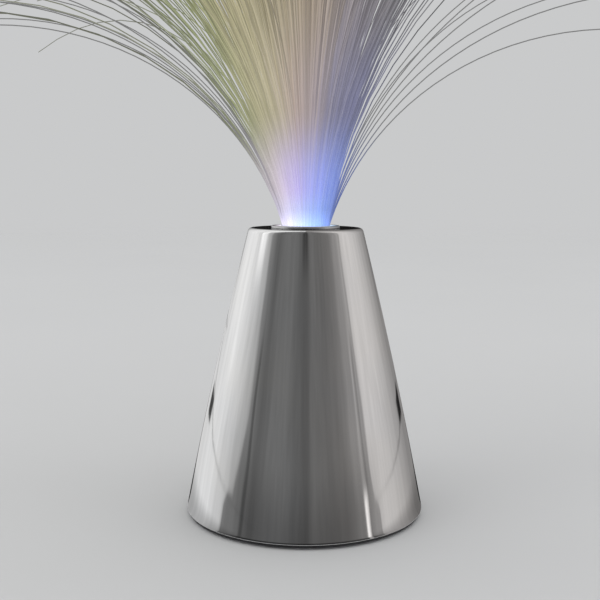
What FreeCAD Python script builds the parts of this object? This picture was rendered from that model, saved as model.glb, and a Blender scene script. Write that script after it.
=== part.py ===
import FreeCAD, Part
import math
import os
import Sketcher
from FreeCAD import Placement, Rotation, Vector

# Battery-powered fibre optic lamp. Millimetres, +Z up, origin on the table under the axis.
# A chromed conical shell stands on a black base plate that holds three AA cells, a slide
# switch and the light engine. The fibre head, a ferrule with its spray of optical fibres,
# plugs into the top.

DRIVING_SIZES = {
    # chrome shell
    "shell_top_radius": 20.8,
    "shell_height": 103.9,
    "side_bulge": 0.77,
    "shell_wall": 2.0,
    "shoulder_chamfer": 1.2,
    # base plate under the shell
    "flange_inset": 0.7,
    "flange_thickness": 1.0,
    "plate_thickness": 2.0,
    "plug_gap": 1.25,
    # lugs that centre the plate in the shell
    "lug_wall": 1.5,
    "lug_height": 3.4,
    "lug_width": 18.0,
    # rubber feet stuck under the plate
    "foot_inset": 4.8,
    "foot_radius": 3.6,
    "foot_height": 0.8,
    # screw posts of the shell
    "post_inset": 5.1,
    "post_radius": 3.2,
    "post_top": 40.0,
    "post_rib": 1.2,
    "post_rib_top": 18.0,
    # fits shared by all screws and snap pieces
    "thread_gap": 0.05,
    "hole_gap": 0.3,
    # flat-head screws through the base plate
    "base_screw_radius": 1.4,
    "base_screw_head": 2.7,
    "base_screw_head_height": 1.3,
    "base_screw_length": 10.0,
    "base_screw_sink": 0.1,
    # AA cells and their box
    "cell_radius": 7.1,
    "cell_length": 50.4,
    "cell_pitch": 15.5,
    "nipple_radius": 2.7,
    "nipple_length": 1.2,
    "cell_gap": 0.4,
    "box_side_gap": 1.1,
    "contact_space": 2.8,
    "box_wall": 1.6,
    "box_corner": 2.5,
    "box_to_side": 2.7,
    # battery door
    "door_thickness": 1.6,
    "door_gap": 0.3,
    "door_lift": 0.1,
    "ledge_side": 0.9,
    "ledge_end": 1.3,
    "tab_place": 7.75,
    "tab_width": 5.0,
    "tab_reach": 2.4,
    "tab_stem": 2.0,
    "tab_thickness": 1.25,
    "tab_gap": 0.15,
    "tongue_width": 12.0,
    "tongue_length": 10.0,
    "tongue_slit": 0.8,
    "nose_width": 8.0,
    "nose_depth": 1.3,
    "nose_height": 2.0,
    "thumb_radius": 4.0,
    "thumb_depth": 0.6,
    # battery contacts
    "contact_thickness": 0.5,
    "contact_width": 9.0,
    "contact_foot": 3.4,
    "contact_height": 8.8,
    "tail_width": 3.0,
    "tail_height": 2.3,
    "spring_wire": 0.35,
    "spring_wide": 3.5,
    "spring_narrow": 2.2,
    "spring_turns": 2.5,
    # slide switch
    "switch_inset": 6.9,
    "switch_width": 5.8,
    "switch_length": 12.0,
    "switch_height": 4.5,
    "ear_reach": 9.8,
    "ear_width": 5.0,
    "ear_thickness": 0.6,
    "stake_place": 7.9,
    "stake_radius": 0.9,
    "stake_height": 1.5,
    "stake_gap": 0.05,
    "terminal_pitch": 2.5,
    "terminal_width": 1.2,
    "terminal_thickness": 0.5,
    "terminal_height": 2.0,
    # switch knob under the plate
    "knob_travel": 3.5,
    "knob_stem_width": 2.6,
    "knob_stem_length": 3.0,
    "knob_stem_top": 4.2,
    "knob_grip_width": 5.0,
    "knob_grip_length": 4.4,
    "knob_grip_height": 0.95,
    "knob_clear": 0.45,
    "grip_groove": 0.4,
    "grip_groove_pitch": 1.2,
    "slot_gap": 0.3,
    "finger_recess_width": 7.4,
    "finger_recess_length": 13.0,
    "finger_recess_depth": 1.0,
    # leads inside the shell
    "lead_radius": 0.65,
    "lead_bend": 7.0,
    "lead_rise": 14.0,
    "lead_drop": 12.0,
    "lead_apart": 3.0,
    "red_pad_x": 7.7,
    "red_pad_y": 6.5,
    "switch_pad_x": 9.0,
    "switch_pad_y": -4.5,
    # light engine
    "board_radius": 12.9,
    "board_thickness": 1.6,
    "led_circle": 5.5,
    "led_radius": 2.5,
    "led_height": 8.0,
    "chip_length": 6.0,
    "chip_width": 5.0,
    "chip_height": 1.5,
    "resistor_length": 3.2,
    "resistor_width": 1.6,
    "resistor_height": 0.6,
    "resistor_pitch": 3.0,
    # socket tube that the ferrule plugs into, held by a collar under the shell's top
    "running_gap": 0.05,
    "tube_wall": 2.0,
    "tube_length": 37.7,
    "collar_wall": 1.5,
    "collar_height": 6.0,
    "hook_width": 4.0,
    "hook_thickness": 1.2,
    "hook_nose": 0.8,
    "hook_nose_height": 1.3,
    "hook_root": 4.0,
    "hook_gap": 0.1,
    # ferrule and fibres
    "ferrule_radius": 11.0,
    "ferrule_wall": 1.9,
    "ferrule_length": 25.2,
    "ring_radius": 12.5,
    "ring_height": 0.8,
    "potting_gap": 0.05,
    "fibre_radius": 0.25,
    "fibre_length": 220.0,
    "fibre_ring_pitch": 1.07,
    "fibre_droop": 122.0,
    "fibre_lean_share": 0.14,
    "fibre_bend_exponent": 1.3,
    "fibre_spread_exponent": 2.0,
}

# Heights and radii that follow from the driving sizes. The cells set how wide the shell is at
# its foot: its side passes the top corners of their box with box_to_side to spare.
DERIVED_SIZES = {
    "shell_bottom": "sizes.foot_height + sizes.flange_thickness",
    "shell_top": "derived.shell_bottom + sizes.shell_height",
    "shell_ceiling": "derived.shell_top - sizes.shell_wall",
    "plate_top": "sizes.foot_height + sizes.plate_thickness",
    "door_top": "sizes.foot_height + sizes.door_thickness",
    "cell_axis": "derived.door_top + sizes.cell_gap + sizes.cell_radius",
    "box_across": "sizes.cell_pitch + sizes.cell_radius + sizes.box_side_gap",
    "box_along": "sizes.cell_length / 2 + sizes.contact_space",
    "box_ceiling": "derived.cell_axis + sizes.cell_radius + 2 * sizes.cell_gap",
    "box_top": "derived.box_ceiling + sizes.box_wall",
    "box_rise": "(derived.box_top - derived.shell_bottom) / sizes.shell_height",
    "box_reach": "sqrt((derived.box_across + sizes.box_wall - sizes.box_corner) ^ 2"
    " + (derived.box_along + sizes.box_wall) ^ 2)",
    "shell_bottom_radius": "(derived.box_reach + sizes.box_to_side"
    " - sizes.shell_top_radius * derived.box_rise) / (1 - derived.box_rise)",
    "side_run": "derived.shell_bottom_radius - sizes.shell_top_radius",
    "side_chord": "sqrt(derived.side_run ^ 2 + sizes.shell_height ^ 2)",
    "wall_across": "sizes.shell_wall * derived.side_chord / sizes.shell_height",
    "wall_slope": "derived.side_run / sizes.shell_height",
    "inner_bottom_radius": "derived.shell_bottom_radius - derived.wall_across",
    "inner_top_radius": "sizes.shell_top_radius + sizes.shell_wall * derived.wall_slope"
    " - derived.wall_across",
    "shell_hole": "sizes.ferrule_radius + sizes.hole_gap",
    "flange_radius": "derived.shell_bottom_radius - sizes.flange_inset",
    "plug_radius": "derived.inner_bottom_radius - sizes.plug_gap",
    "lug_radius": "derived.plug_radius - sizes.lug_wall",
    "foot_circle": "derived.flange_radius - sizes.foot_inset",
    "post_circle": "derived.plug_radius - sizes.post_inset",
    "switch_place": "derived.lug_radius - sizes.switch_inset",
    "base_screw_under": "sizes.foot_height + sizes.base_screw_sink",
    "base_screw_tip": "derived.base_screw_under + sizes.base_screw_length",
    "recess_top": "derived.door_top + sizes.door_lift",
    "recess_across": "derived.box_across + sizes.ledge_side",
    "recess_along": "derived.box_along + sizes.ledge_end",
    "door_across": "derived.recess_across - sizes.door_gap",
    "door_along": "derived.recess_along - sizes.door_gap",
    "tab_under": "derived.plate_top + sizes.tab_gap",
    "tab_top": "derived.tab_under + sizes.tab_thickness",
    "contact_under": "derived.door_top + sizes.contact_foot",
    "contact_face": "derived.box_along - sizes.contact_thickness",
    "spring_length": "2 * derived.contact_face - sizes.cell_length",
    "tail_top": "derived.box_top + sizes.tail_height",
    "switch_under": "derived.plate_top",
    "switch_top": "derived.switch_under + sizes.switch_height",
    "terminal_top": "derived.switch_top + sizes.terminal_height",
    "slot_half_width": "sizes.knob_stem_width / 2 + sizes.slot_gap",
    "slot_half_length": "sizes.knob_stem_length / 2 + sizes.knob_travel / 2 + sizes.slot_gap",
    "knob_place": "sizes.knob_travel / 2",
    "grip_top": "sizes.knob_clear + sizes.knob_grip_height",
    "tube_bore": "sizes.ferrule_radius + sizes.running_gap",
    "tube_radius": "derived.tube_bore + sizes.tube_wall",
    "tube_bottom": "derived.shell_ceiling - sizes.tube_length",
    "collar_bore": "derived.tube_radius + sizes.running_gap",
    "collar_radius": "derived.collar_bore + sizes.collar_wall",
    "collar_under": "derived.shell_ceiling - sizes.collar_height",
    "board_under": "derived.tube_bottom - sizes.board_thickness",
    "hook_inside": "derived.tube_radius + sizes.hook_gap",
    "ferrule_bore": "sizes.ferrule_radius - sizes.ferrule_wall",
    "ferrule_under": "derived.shell_top - sizes.ferrule_length",
    "ring_top": "derived.shell_top + sizes.ring_height",
    "bundle_radius": "derived.ferrule_bore - sizes.potting_gap",
}

SIDE_BANDS = 2
POST_COUNT = 3
LUG_COUNT = 3
FOOT_COUNT = 3
HOOK_COUNT = 3
LED_COUNT = 3
FIBRE_RINGS = 8
FIBRES_PER_RING_STEP = 6
LOOSE_FIBRES = 16
FIBRE_SIDES = 3
SPRING_STEPS_PER_TURN = 6
SPRING_SIDES = 4
LEAD_SIDES = 5

document = FreeCAD.newDocument("fibre_optic_lamp")


def fill_sheet(name, entries, prefix):
    sheet = document.addObject("Spreadsheet::Sheet", name)
    for row, (alias, content) in enumerate(entries.items(), start=1):
        sheet.set(f"A{row}", alias)
        sheet.set(f"B{row}", f"{prefix}{content}".replace(f"{name}.", ""))
        sheet.setAlias(f"B{row}", alias)
        document.recompute()
    return sheet


sizes = fill_sheet("sizes", DRIVING_SIZES, "")
derived = fill_sheet("derived", DERIVED_SIZES, "=")


def value(expression):
    return float(sizes.evalExpression(str(expression)))


def point(x, y, z):
    return Vector(value(x), value(y), value(z))


# ---- sketches and features of PartDesign bodies


def new_body(name):
    body = document.addObject("PartDesign::Body", name)
    body.Label = name
    return body


def new_sketch(body, name, plane="XY_Plane", height="0"):
    sketch = body.newObject("Sketcher::SketchObject", name)
    support = [entry for entry in body.Origin.OriginFeatures if entry.Role == plane][0]
    sketch.AttachmentSupport = [(support, "")]
    sketch.MapMode = "FlatFace"
    sketch.setExpression("AttachmentOffset.Base.z", height)
    return sketch


def bind(sketch, constraint, expression):
    number = sketch.addConstraint(constraint)
    sketch.setExpression(f"Constraints[{number}]", expression)


# A closed outline through corners given as pairs of expressions. An edge whose number is in
# arcs is an arc of that radius, which bulges to the right (1) or left (-1) of the way round.
def add_outline(sketch, corners, arcs=None):
    arcs = arcs or {}
    points = [point(x, y, 0) for x, y in corners]
    starts = []
    ends = []
    for number, start in enumerate(points):
        end = points[(number + 1) % len(points)]
        if number in arcs:
            chord = end - start
            expression, side = arcs[number]
            radius = value(expression)
            outward = Vector(chord.y, -chord.x, 0).normalize() * side
            rise = radius - math.sqrt(radius**2 - chord.Length**2 / 4)
            edge = sketch.addGeometry(Part.Arc(start, start + chord / 2 + outward * rise, end))
            bind(sketch, Sketcher.Constraint("Radius", edge, radius), expression)
            forward = sketch.getPoint(edge, 1).distanceToPoint(start) < 0.001
        else:
            edge = sketch.addGeometry(Part.LineSegment(start, end))
            forward = True
        starts.append((edge, 1 if forward else 2))
        ends.append((edge, 2 if forward else 1))
    for number, (edge, place) in enumerate(starts):
        x, y = corners[number]
        sketch.addConstraint(Sketcher.Constraint("Coincident", *ends[number - 1], edge, place))
        bind(sketch, Sketcher.Constraint("DistanceX", edge, place, points[number].x), x)
        bind(sketch, Sketcher.Constraint("DistanceY", edge, place, points[number].y), y)


def add_rectangle(sketch, left, right, front, back):
    add_outline(sketch, [(left, front), (right, front), (right, back), (left, back)])


def add_circle(sketch, x, y, radius):
    circle = sketch.addGeometry(Part.Circle(point(x, y, 0), Vector(0, 0, 1), value(radius)))
    bind(sketch, Sketcher.Constraint("DistanceX", circle, 3, value(x)), x)
    bind(sketch, Sketcher.Constraint("DistanceY", circle, 3, value(y)), y)
    bind(sketch, Sketcher.Constraint("Radius", circle, value(radius)), radius)


def settle(feature):
    document.recompute()
    if "Invalid" in feature.State:
        raise ValueError(f"{feature.Label}: {feature.getStatusString()}")
    return feature


def add_pad(body, sketch, name, length, downward=False):
    pad = body.newObject("PartDesign::Pad", name)
    pad.Profile = sketch
    pad.setExpression("Length", length)
    pad.Reversed = downward
    return settle(pad)


# A pocket upward from its sketch takes the material above it.
def add_pocket(body, sketch, name, depth, upward=True):
    before = body.Shape.Volume
    pocket = body.newObject("PartDesign::Pocket", name)
    pocket.Profile = sketch
    pocket.setExpression("Length", depth)
    pocket.Reversed = upward
    settle(pocket)
    if body.Shape.Volume > before - 0.001:
        raise ValueError(f"{name} cuts nothing")
    return pocket


def add_turn(body, sketch, name, kind="PartDesign::Revolution"):
    turn = body.newObject(kind, name)
    turn.Profile = sketch
    turn.ReferenceAxis = (sketch, ["V_Axis"])
    turn.Angle = 360
    return settle(turn)


def add_polar_copies(body, features, sketch, name, count):
    pattern = body.newObject("PartDesign::PolarPattern", name)
    pattern.Originals = features
    pattern.Axis = (sketch, ["N_Axis"])
    pattern.Angle = 360
    pattern.Occurrences = count
    body.Tip = pattern
    return settle(pattern)


# The names of the round edges of this radius whose centres lie at this height.
def round_edges(shape, radius, height):
    names = []
    for number, edge in enumerate(shape.Edges, start=1):
        curve = edge.Curve
        if not isinstance(curve, Part.Circle) or abs(curve.Axis.z) < 0.999:
            continue
        if abs(curve.Radius - radius) < 0.01 and abs(curve.Center.z - height) < 0.01:
            names.append(f"Edge{number}")
    return names


def add_chamfer(body, base, name, size, radius, height):
    chamfer = body.newObject("PartDesign::Chamfer", name)
    chamfer.Base = (base, round_edges(base.Shape, value(radius), value(height)))
    chamfer.setExpression("Size", size)
    return settle(chamfer)


# Places spaced evenly on a circle, as pairs of expressions.
def round_places(circle, count, first_angle):
    places = []
    for number in range(count):
        angle = first_angle + 360 * number / count
        places.append((f"{circle} * cos({angle})", f"{circle} * sin({angle})"))
    return places


def post_places():
    return round_places("derived.post_circle", POST_COUNT, 90)


def foot_places():
    return round_places("derived.foot_circle", FOOT_COUNT, 30)


def stake_places():
    return [("derived.switch_place", f"{side} * sizes.stake_place") for side in (-1, 1)]


# ---- solids of the Part workbench


def add_box(name, left, right, front, back, under, top):
    box = document.addObject("Part::Box", name)
    box.setExpression("Length", f"({right}) - ({left})")
    box.setExpression("Width", f"({back}) - ({front})")
    box.setExpression("Height", f"({top}) - ({under})")
    for axis, place in zip("xyz", (left, front, under)):
        box.setExpression(f"Placement.Base.{axis}", place)
    return box


def add_bar(name, radius, length, x, y, z, axis=None):
    bar = document.addObject("Part::Cylinder", name)
    bar.Placement = Placement(Vector(), Rotation(Vector(0, 0, 1), axis or Vector(0, 0, 1)))
    bar.setExpression("Radius", radius)
    bar.setExpression("Height", length)
    for letter, place in zip("xyz", (x, y, z)):
        bar.setExpression(f"Placement.Base.{letter}", place)
    return bar


def join(name, pieces):
    joined = document.addObject("Part::MultiFuse", name)
    joined.Shapes = pieces
    joined.Label = name
    document.recompute()
    return joined


def group(name, pieces):
    grouped = document.addObject("Part::Compound", name)
    grouped.Links = pieces
    grouped.Label = name
    document.recompute()
    return grouped


def add_shape(name, shape):
    feature = document.addObject("Part::Feature", name)
    feature.Shape = shape
    feature.Label = name
    return feature


# A path through the points whose corners are tangent arcs.
def rounded_path(points, bend):
    edges = []
    start = points[0]
    for before, corner, after in zip(points, points[1:], points[2:]):
        back = (before - corner).normalize()
        ahead = (after - corner).normalize()
        half = back.getAngle(ahead) / 2
        setback = bend / math.tan(half)
        entry = corner + back * setback
        leave = corner + ahead * setback
        middle = corner + (back + ahead).normalize() * (bend / math.sin(half) - bend)
        edges.append(Part.LineSegment(start, entry).toShape())
        edges.append(Part.Arc(entry, middle, leave).toShape())
        start = leave
    edges.append(Part.LineSegment(start, points[-1]).toShape())
    return Part.Wire(edges)


def ring_points(centre, direction, radius, sides):
    turn = Rotation(Vector(0, 0, 1), direction)
    angles = [2 * math.pi * number / sides for number in range(sides)]
    offsets = [Vector(math.cos(angle), math.sin(angle), 0) for angle in angles]
    return [centre + turn.multVec(offset) * radius for offset in offsets]


# A lead: a many-sided section swept along its path.
def swept_lead(points):
    path = rounded_path(points, value("sizes.lead_bend"))
    heading = points[1] - points[0]
    corners = ring_points(points[0], heading, value("sizes.lead_radius"), LEAD_SIDES)
    section = Part.makePolygon(corners + corners[:1])
    return path.makePipeShell([section], True, False)


# A conical battery spring wound about Y, from the wide end on its contact to the narrow end.
def wound_spring(x, y, z, length, side):
    wire = value("sizes.spring_wire")
    wide = value("sizes.spring_wide")
    narrow = value("sizes.spring_narrow")
    steps = round(value("sizes.spring_turns") * SPRING_STEPS_PER_TURN)
    sections = []
    for step in range(steps + 1):
        share = step / steps
        angle = 2 * math.pi * step / SPRING_STEPS_PER_TURN
        coil = wide + (narrow - wide) * share
        along = (length - wire) * share
        outward = Vector(math.cos(angle), 0, math.sin(angle))
        centre = Vector(x, y + side * along, z) + outward * coil
        lift = Vector(0, side, 0)
        corners = [centre + outward * wire, centre + lift * wire]
        corners += [centre - outward * wire, centre - lift * wire]
        sections.append(corners)
    faces = [Part.Face(Part.makePolygon(sections[0] + sections[0][:1]))]
    faces.append(Part.Face(Part.makePolygon(sections[-1] + sections[-1][:1])))
    for first, second in zip(sections, sections[1:]):
        for number in range(SPRING_SIDES):
            after = (number + 1) % SPRING_SIDES
            near = [first[number], first[after], second[number], first[number]]
            far = [first[after], second[after], second[number], first[after]]
            faces.append(Part.Face(Part.makePolygon(near)))
            faces.append(Part.Face(Part.makePolygon(far)))
    return Part.Solid(Part.Shell(faces))


# ---- the shell


# Corners up the shell's side, where its straight bands meet the curve of its bulge.
def side_corners(inset):
    corners = []
    for number in range(SIDE_BANDS + 1):
        share = number / SIDE_BANDS
        bulge = f"4 * sizes.side_bulge * {share} * (1 - {share})"
        radius = f"derived.shell_bottom_radius - derived.side_run * {share} + {bulge} - {inset}"
        corners.append((radius, f"derived.shell_bottom + sizes.shell_height * {share}"))
    return corners


def make_chrome_shell():
    body = new_body("chrome_shell")
    # three screw posts with ribs, trimmed to the middle of the sloping wall
    post_outline = new_sketch(body, "post_outline", height="derived.plate_top")
    add_circle(post_outline, "0", "derived.post_circle", "sizes.post_radius")
    post = add_pad(body, post_outline, "screw_post", "sizes.post_top - derived.plate_top")
    rib_outline = new_sketch(body, "rib_outline", height="derived.plate_top")
    half = "sizes.post_rib / 2"
    edges = ["derived.post_circle", "derived.shell_bottom_radius"]
    add_rectangle(rib_outline, f"-{half}", half, *edges)
    rib = add_pad(body, rib_outline, "post_rib", "sizes.post_rib_top - derived.plate_top")
    add_polar_copies(body, [post, rib], post_outline, "screw_posts", POST_COUNT)
    trim = new_sketch(body, "trim_outline", "XZ_Plane")
    trim_corners = [
        ("2 * derived.shell_bottom_radius", "derived.shell_top"),
        ("2 * derived.shell_bottom_radius", "derived.shell_bottom"),
    ]
    add_outline(trim, trim_corners + side_corners("derived.wall_across / 2"))
    before = body.Shape.Volume
    add_turn(body, trim, "post_trim", "PartDesign::Groove")
    if body.Shape.Volume > before - 1:
        raise ValueError("the posts are not trimmed")
    # the wall itself, convex down its side, with the plug's hole in its flat top and a
    # collar round the hole that holds the socket tube
    wall = new_sketch(body, "wall_outline", "XZ_Plane")
    wall_corners = side_corners("0")
    wall_corners += [
        ("derived.shell_hole", "derived.shell_top"),
        ("derived.shell_hole", "derived.shell_ceiling"),
        ("derived.collar_bore", "derived.shell_ceiling"),
        ("derived.collar_bore", "derived.collar_under"),
        ("derived.collar_radius", "derived.collar_under"),
        ("derived.collar_radius", "derived.shell_ceiling"),
        ("derived.inner_top_radius", "derived.shell_ceiling"),
        ("derived.inner_bottom_radius", "derived.shell_bottom"),
    ]
    add_outline(wall, wall_corners)
    turned = add_turn(body, wall, "shell_wall")
    rim = ["sizes.shell_top_radius", "derived.shell_top"]
    add_chamfer(body, turned, "shoulder", "sizes.shoulder_chamfer", *rim)
    post_holes = new_sketch(body, "post_hole_outlines", height="derived.plate_top")
    for x, y in post_places():
        add_circle(post_holes, x, y, "sizes.base_screw_radius + sizes.thread_gap")
    depth = "derived.base_screw_tip + sizes.hole_gap - derived.plate_top"
    add_pocket(body, post_holes, "post_holes", depth)
    return body


# ---- the base plate and what is fastened to it


def make_base_plate():
    body = new_body("base_plate")
    flange = new_sketch(body, "flange_outline", height="sizes.foot_height")
    add_circle(flange, "0", "0", "derived.flange_radius")
    add_pad(body, flange, "flange", "sizes.flange_thickness")
    plug = new_sketch(body, "plug_outline", height="sizes.foot_height")
    add_circle(plug, "0", "0", "derived.plug_radius")
    add_pad(body, plug, "plug", "sizes.plate_thickness")
    # lugs round the plug centre it in the shell, between the screw posts
    lug_outline = new_sketch(body, "lug_outline", height="derived.plate_top")
    half = "(sizes.lug_width / 2)"
    outside = f"-sqrt(derived.plug_radius ^ 2 - {half} ^ 2)"
    inside = f"-sqrt(derived.lug_radius ^ 2 - {half} ^ 2)"
    lug_corners = [(f"-{half}", outside), (half, outside), (half, inside), (f"-{half}", inside)]
    lug_arcs = {0: ("derived.plug_radius", 1), 2: ("derived.lug_radius", -1)}
    add_outline(lug_outline, lug_corners, lug_arcs)
    lug = add_pad(body, lug_outline, "lug", "sizes.lug_height")
    add_polar_copies(body, [lug], lug_outline, "lugs", LUG_COUNT)
    # heat stakes hold the switch by its ears
    stakes = new_sketch(body, "stake_outlines", height="derived.plate_top")
    for x, y in stake_places():
        add_circle(stakes, x, y, "sizes.stake_radius")
    add_pad(body, stakes, "switch_stakes", "sizes.stake_height")
    # the battery box stands on the plate, open below
    box = new_sketch(body, "box_outline", height="derived.plate_top")
    full_x = "(derived.box_across + sizes.box_wall)"
    full_y = "(derived.box_along + sizes.box_wall)"
    less_x = f"({full_x} - sizes.box_corner)"
    less_y = f"({full_y} - sizes.box_corner)"
    box_corners = [(full_x, f"-{less_y}"), (full_x, less_y), (less_x, full_y)]
    box_corners += [(f"-{less_x}", full_y), (f"-{full_x}", less_y), (f"-{full_x}", f"-{less_y}")]
    box_corners += [(f"-{less_x}", f"-{full_y}"), (less_x, f"-{full_y}")]
    add_outline(box, box_corners)
    add_pad(body, box, "battery_box", "derived.box_top - derived.plate_top")
    room = new_sketch(body, "box_room_outline", height="sizes.foot_height")
    across = "derived.box_across"
    along = "derived.box_along"
    add_rectangle(room, f"-{across}", across, f"-{along}", along)
    add_pocket(body, room, "box_room", "derived.box_ceiling - sizes.foot_height")
    recess = new_sketch(body, "door_recess_outline", height="sizes.foot_height")
    across = "derived.recess_across"
    along = "derived.recess_along"
    add_rectangle(recess, f"-{across}", across, f"-{along}", along)
    add_pocket(body, recess, "door_recess", "derived.recess_top - sizes.foot_height")
    # notches in the box wall let the door's hinge tabs through
    notches = new_sketch(body, "tab_notch_outlines", height="derived.recess_top")
    for side in (-1, 1):
        left = f"{side} * sizes.tab_place - sizes.tab_width / 2 - sizes.door_gap"
        right = f"{side} * sizes.tab_place + sizes.tab_width / 2 + sizes.door_gap"
        front = "-derived.box_along - sizes.box_wall - sizes.door_gap"
        add_rectangle(notches, left, right, front, "-derived.box_along + sizes.door_gap")
    add_pocket(body, notches, "tab_notches", "derived.contact_under - derived.recess_top")
    # slots in the box roof for the solder tails of the two end contacts
    tails = new_sketch(body, "tail_slot_outlines", height="derived.box_ceiling")
    for side in (-1, 1):
        place = f"{side} * sizes.cell_pitch"
        half = "(sizes.tail_width / 2 + sizes.door_gap)"
        edges = [f"{side} * derived.contact_face", f"{side} * derived.box_along"]
        front, back = sorted(edges, key=value)
        add_rectangle(tails, f"{place} - {half}", f"{place} + {half}", front, back)
    add_pocket(body, tails, "tail_slots", "sizes.box_wall")
    # countersunk holes for the screws into the shell's posts
    holes = new_sketch(body, "screw_hole_outlines", height="sizes.foot_height")
    for x, y in post_places():
        add_circle(holes, x, y, "sizes.base_screw_radius + sizes.hole_gap")
    before = body.Shape.Volume
    document.recompute()
    screw_holes = body.newObject("PartDesign::Hole", "screw_holes")
    screw_holes.Profile = holes
    screw_holes.Reversed = True
    screw_holes.DepthType = "Dimension"
    screw_holes.DrillPoint = "Flat"
    screw_holes.HoleCutType = "Countersink"
    screw_holes.setExpression("Diameter", "2 * (sizes.base_screw_radius + sizes.hole_gap)")
    screw_holes.setExpression("Depth", "sizes.plate_thickness")
    screw_holes.HoleCutCustomValues = True
    screw_holes.setExpression("HoleCutDiameter", "2 * (sizes.base_screw_head + sizes.hole_gap)")
    screw_holes.HoleCutCountersinkAngle = 90
    settle(screw_holes)
    if body.Shape.Volume > before - 1:
        raise ValueError("the screw holes cut nothing")
    # the switch: a finger recess below and its slot
    finger = new_sketch(body, "finger_recess_outline", height="sizes.foot_height")
    half = "sizes.finger_recess_width / 2"
    reach = "sizes.finger_recess_length / 2"
    place = "derived.switch_place"
    add_rectangle(finger, f"{place} - {half}", f"{place} + {half}", f"-{reach}", reach)
    add_pocket(body, finger, "finger_recess", "sizes.finger_recess_depth")
    slot = new_sketch(body, "knob_slot_outline", height="sizes.foot_height")
    add_switch_slot(slot)
    add_pocket(body, slot, "knob_slot", "sizes.plate_thickness")
    return body


def add_switch_slot(sketch):
    half = "derived.slot_half_width"
    reach = "derived.slot_half_length"
    place = "derived.switch_place"
    add_rectangle(sketch, f"{place} - {half}", f"{place} + {half}", f"-{reach}", reach)


def make_rubber_feet():
    body = new_body("rubber_feet")
    outlines = new_sketch(body, "foot_outlines")
    for x, y in foot_places():
        add_circle(outlines, x, y, "sizes.foot_radius")
    add_pad(body, outlines, "foot_pads", "sizes.foot_height")
    return body


# Flat-head screws point up; kind names their sizes, under is the height of their heads.
def make_screws(name, kind, places, under):
    screws = []
    for number, (x, y) in enumerate(places):
        head = document.addObject("Part::Cone", f"{name}_head_{number}")
        head.setExpression("Radius1", f"sizes.{kind}_head")
        head.setExpression("Radius2", f"sizes.{kind}_radius")
        head.setExpression("Height", f"sizes.{kind}_head_height")
        for letter, place in zip("xyz", (x, y, under)):
            head.setExpression(f"Placement.Base.{letter}", place)
        length = f"sizes.{kind}_length - sizes.{kind}_head_height"
        shank_under = f"{under} + sizes.{kind}_head_height"
        shank_name = f"{name}_shank_{number}"
        shank = add_bar(shank_name, f"sizes.{kind}_radius", length, x, y, shank_under)
        screws.append(join(f"{name}_{number}", [head, shank]))
    return group(name, screws)


# Three AA cells side by side; the middle one points the other way.
def make_aa_cells():
    cells = []
    for number, side in ((-1, 1), (0, -1), (1, 1)):
        x = f"{number} * sizes.cell_pitch"
        tip = f"{side} * derived.contact_face"
        shoulder = f"{tip} - {side} * sizes.nipple_length"
        barrel_length = "sizes.cell_length - sizes.nipple_length"
        barrel = add_bar(
            f"barrel_{number + 1}",
            "sizes.cell_radius",
            barrel_length,
            x,
            shoulder,
            "derived.cell_axis",
            Vector(0, -side, 0),
        )
        nipple = add_bar(
            f"nipple_{number + 1}",
            "sizes.nipple_radius",
            "sizes.nipple_length",
            x,
            tip,
            "derived.cell_axis",
            Vector(0, -side, 0),
        )
        cells.append(join(f"cell_{number + 1}", [barrel, nipple]))
    return group("aa_cells", cells)


# A contact plate on the box's end wall, at side -1 or 1, across from left to right.
def add_contact_plate(name, left, right, side):
    edges = sorted([f"{side} * derived.contact_face", f"{side} * derived.box_along"], key=value)
    top = "derived.contact_under + sizes.contact_height"
    return add_box(name, left, right, *edges, "derived.contact_under", top)


def add_contact_tail(name, number, side):
    place = f"{number} * sizes.cell_pitch"
    edges = sorted([f"{side} * derived.contact_face", f"{side} * derived.box_along"], key=value)
    half = "sizes.tail_width / 2"
    under = "derived.contact_under + sizes.contact_height"
    return add_box(name, f"{place} - {half}", f"{place} + {half}", *edges, under, "derived.tail_top")


def add_spring(name, number, side):
    x = value(f"{number} * sizes.cell_pitch")
    y = value(f"{side} * derived.contact_face")
    z = value("derived.cell_axis")
    return add_shape(name, wound_spring(x, y, z, value("derived.spring_length"), -side))


def make_end_contacts():
    half = "sizes.contact_width / 2"
    positive = [
        add_contact_plate(
            "positive_plate", f"sizes.cell_pitch - {half}", f"sizes.cell_pitch + {half}", 1
        ),
        add_contact_tail("positive_tail", 1, 1),
    ]
    negative = [
        add_contact_plate(
            "negative_plate", f"-sizes.cell_pitch - {half}", f"-sizes.cell_pitch + {half}", -1
        ),
        add_contact_tail("negative_tail", -1, -1),
        add_spring("negative_spring", -1, -1),
    ]
    return [join("contact_positive", positive), join("contact_negative", negative)]


# Each bridge joins one cell's nipple to the next cell's spring at the same end of the box.
def make_bridge_contacts():
    half = "sizes.contact_width / 2"
    bridges = []
    for number, side, spring_at in ((0, -1, 1), (-1, 1, 0)):
        left = f"{number} * sizes.cell_pitch - {half}"
        right = f"{number + 1} * sizes.cell_pitch + {half}"
        plate = add_contact_plate(f"bridge_plate_{side + 1}", left, right, side)
        spring = add_spring(f"bridge_spring_{side + 1}", spring_at, side)
        bridges.append(join(f"bridge_{side + 1}", [plate, spring]))
    return group("bridge_contacts", bridges)


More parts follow.
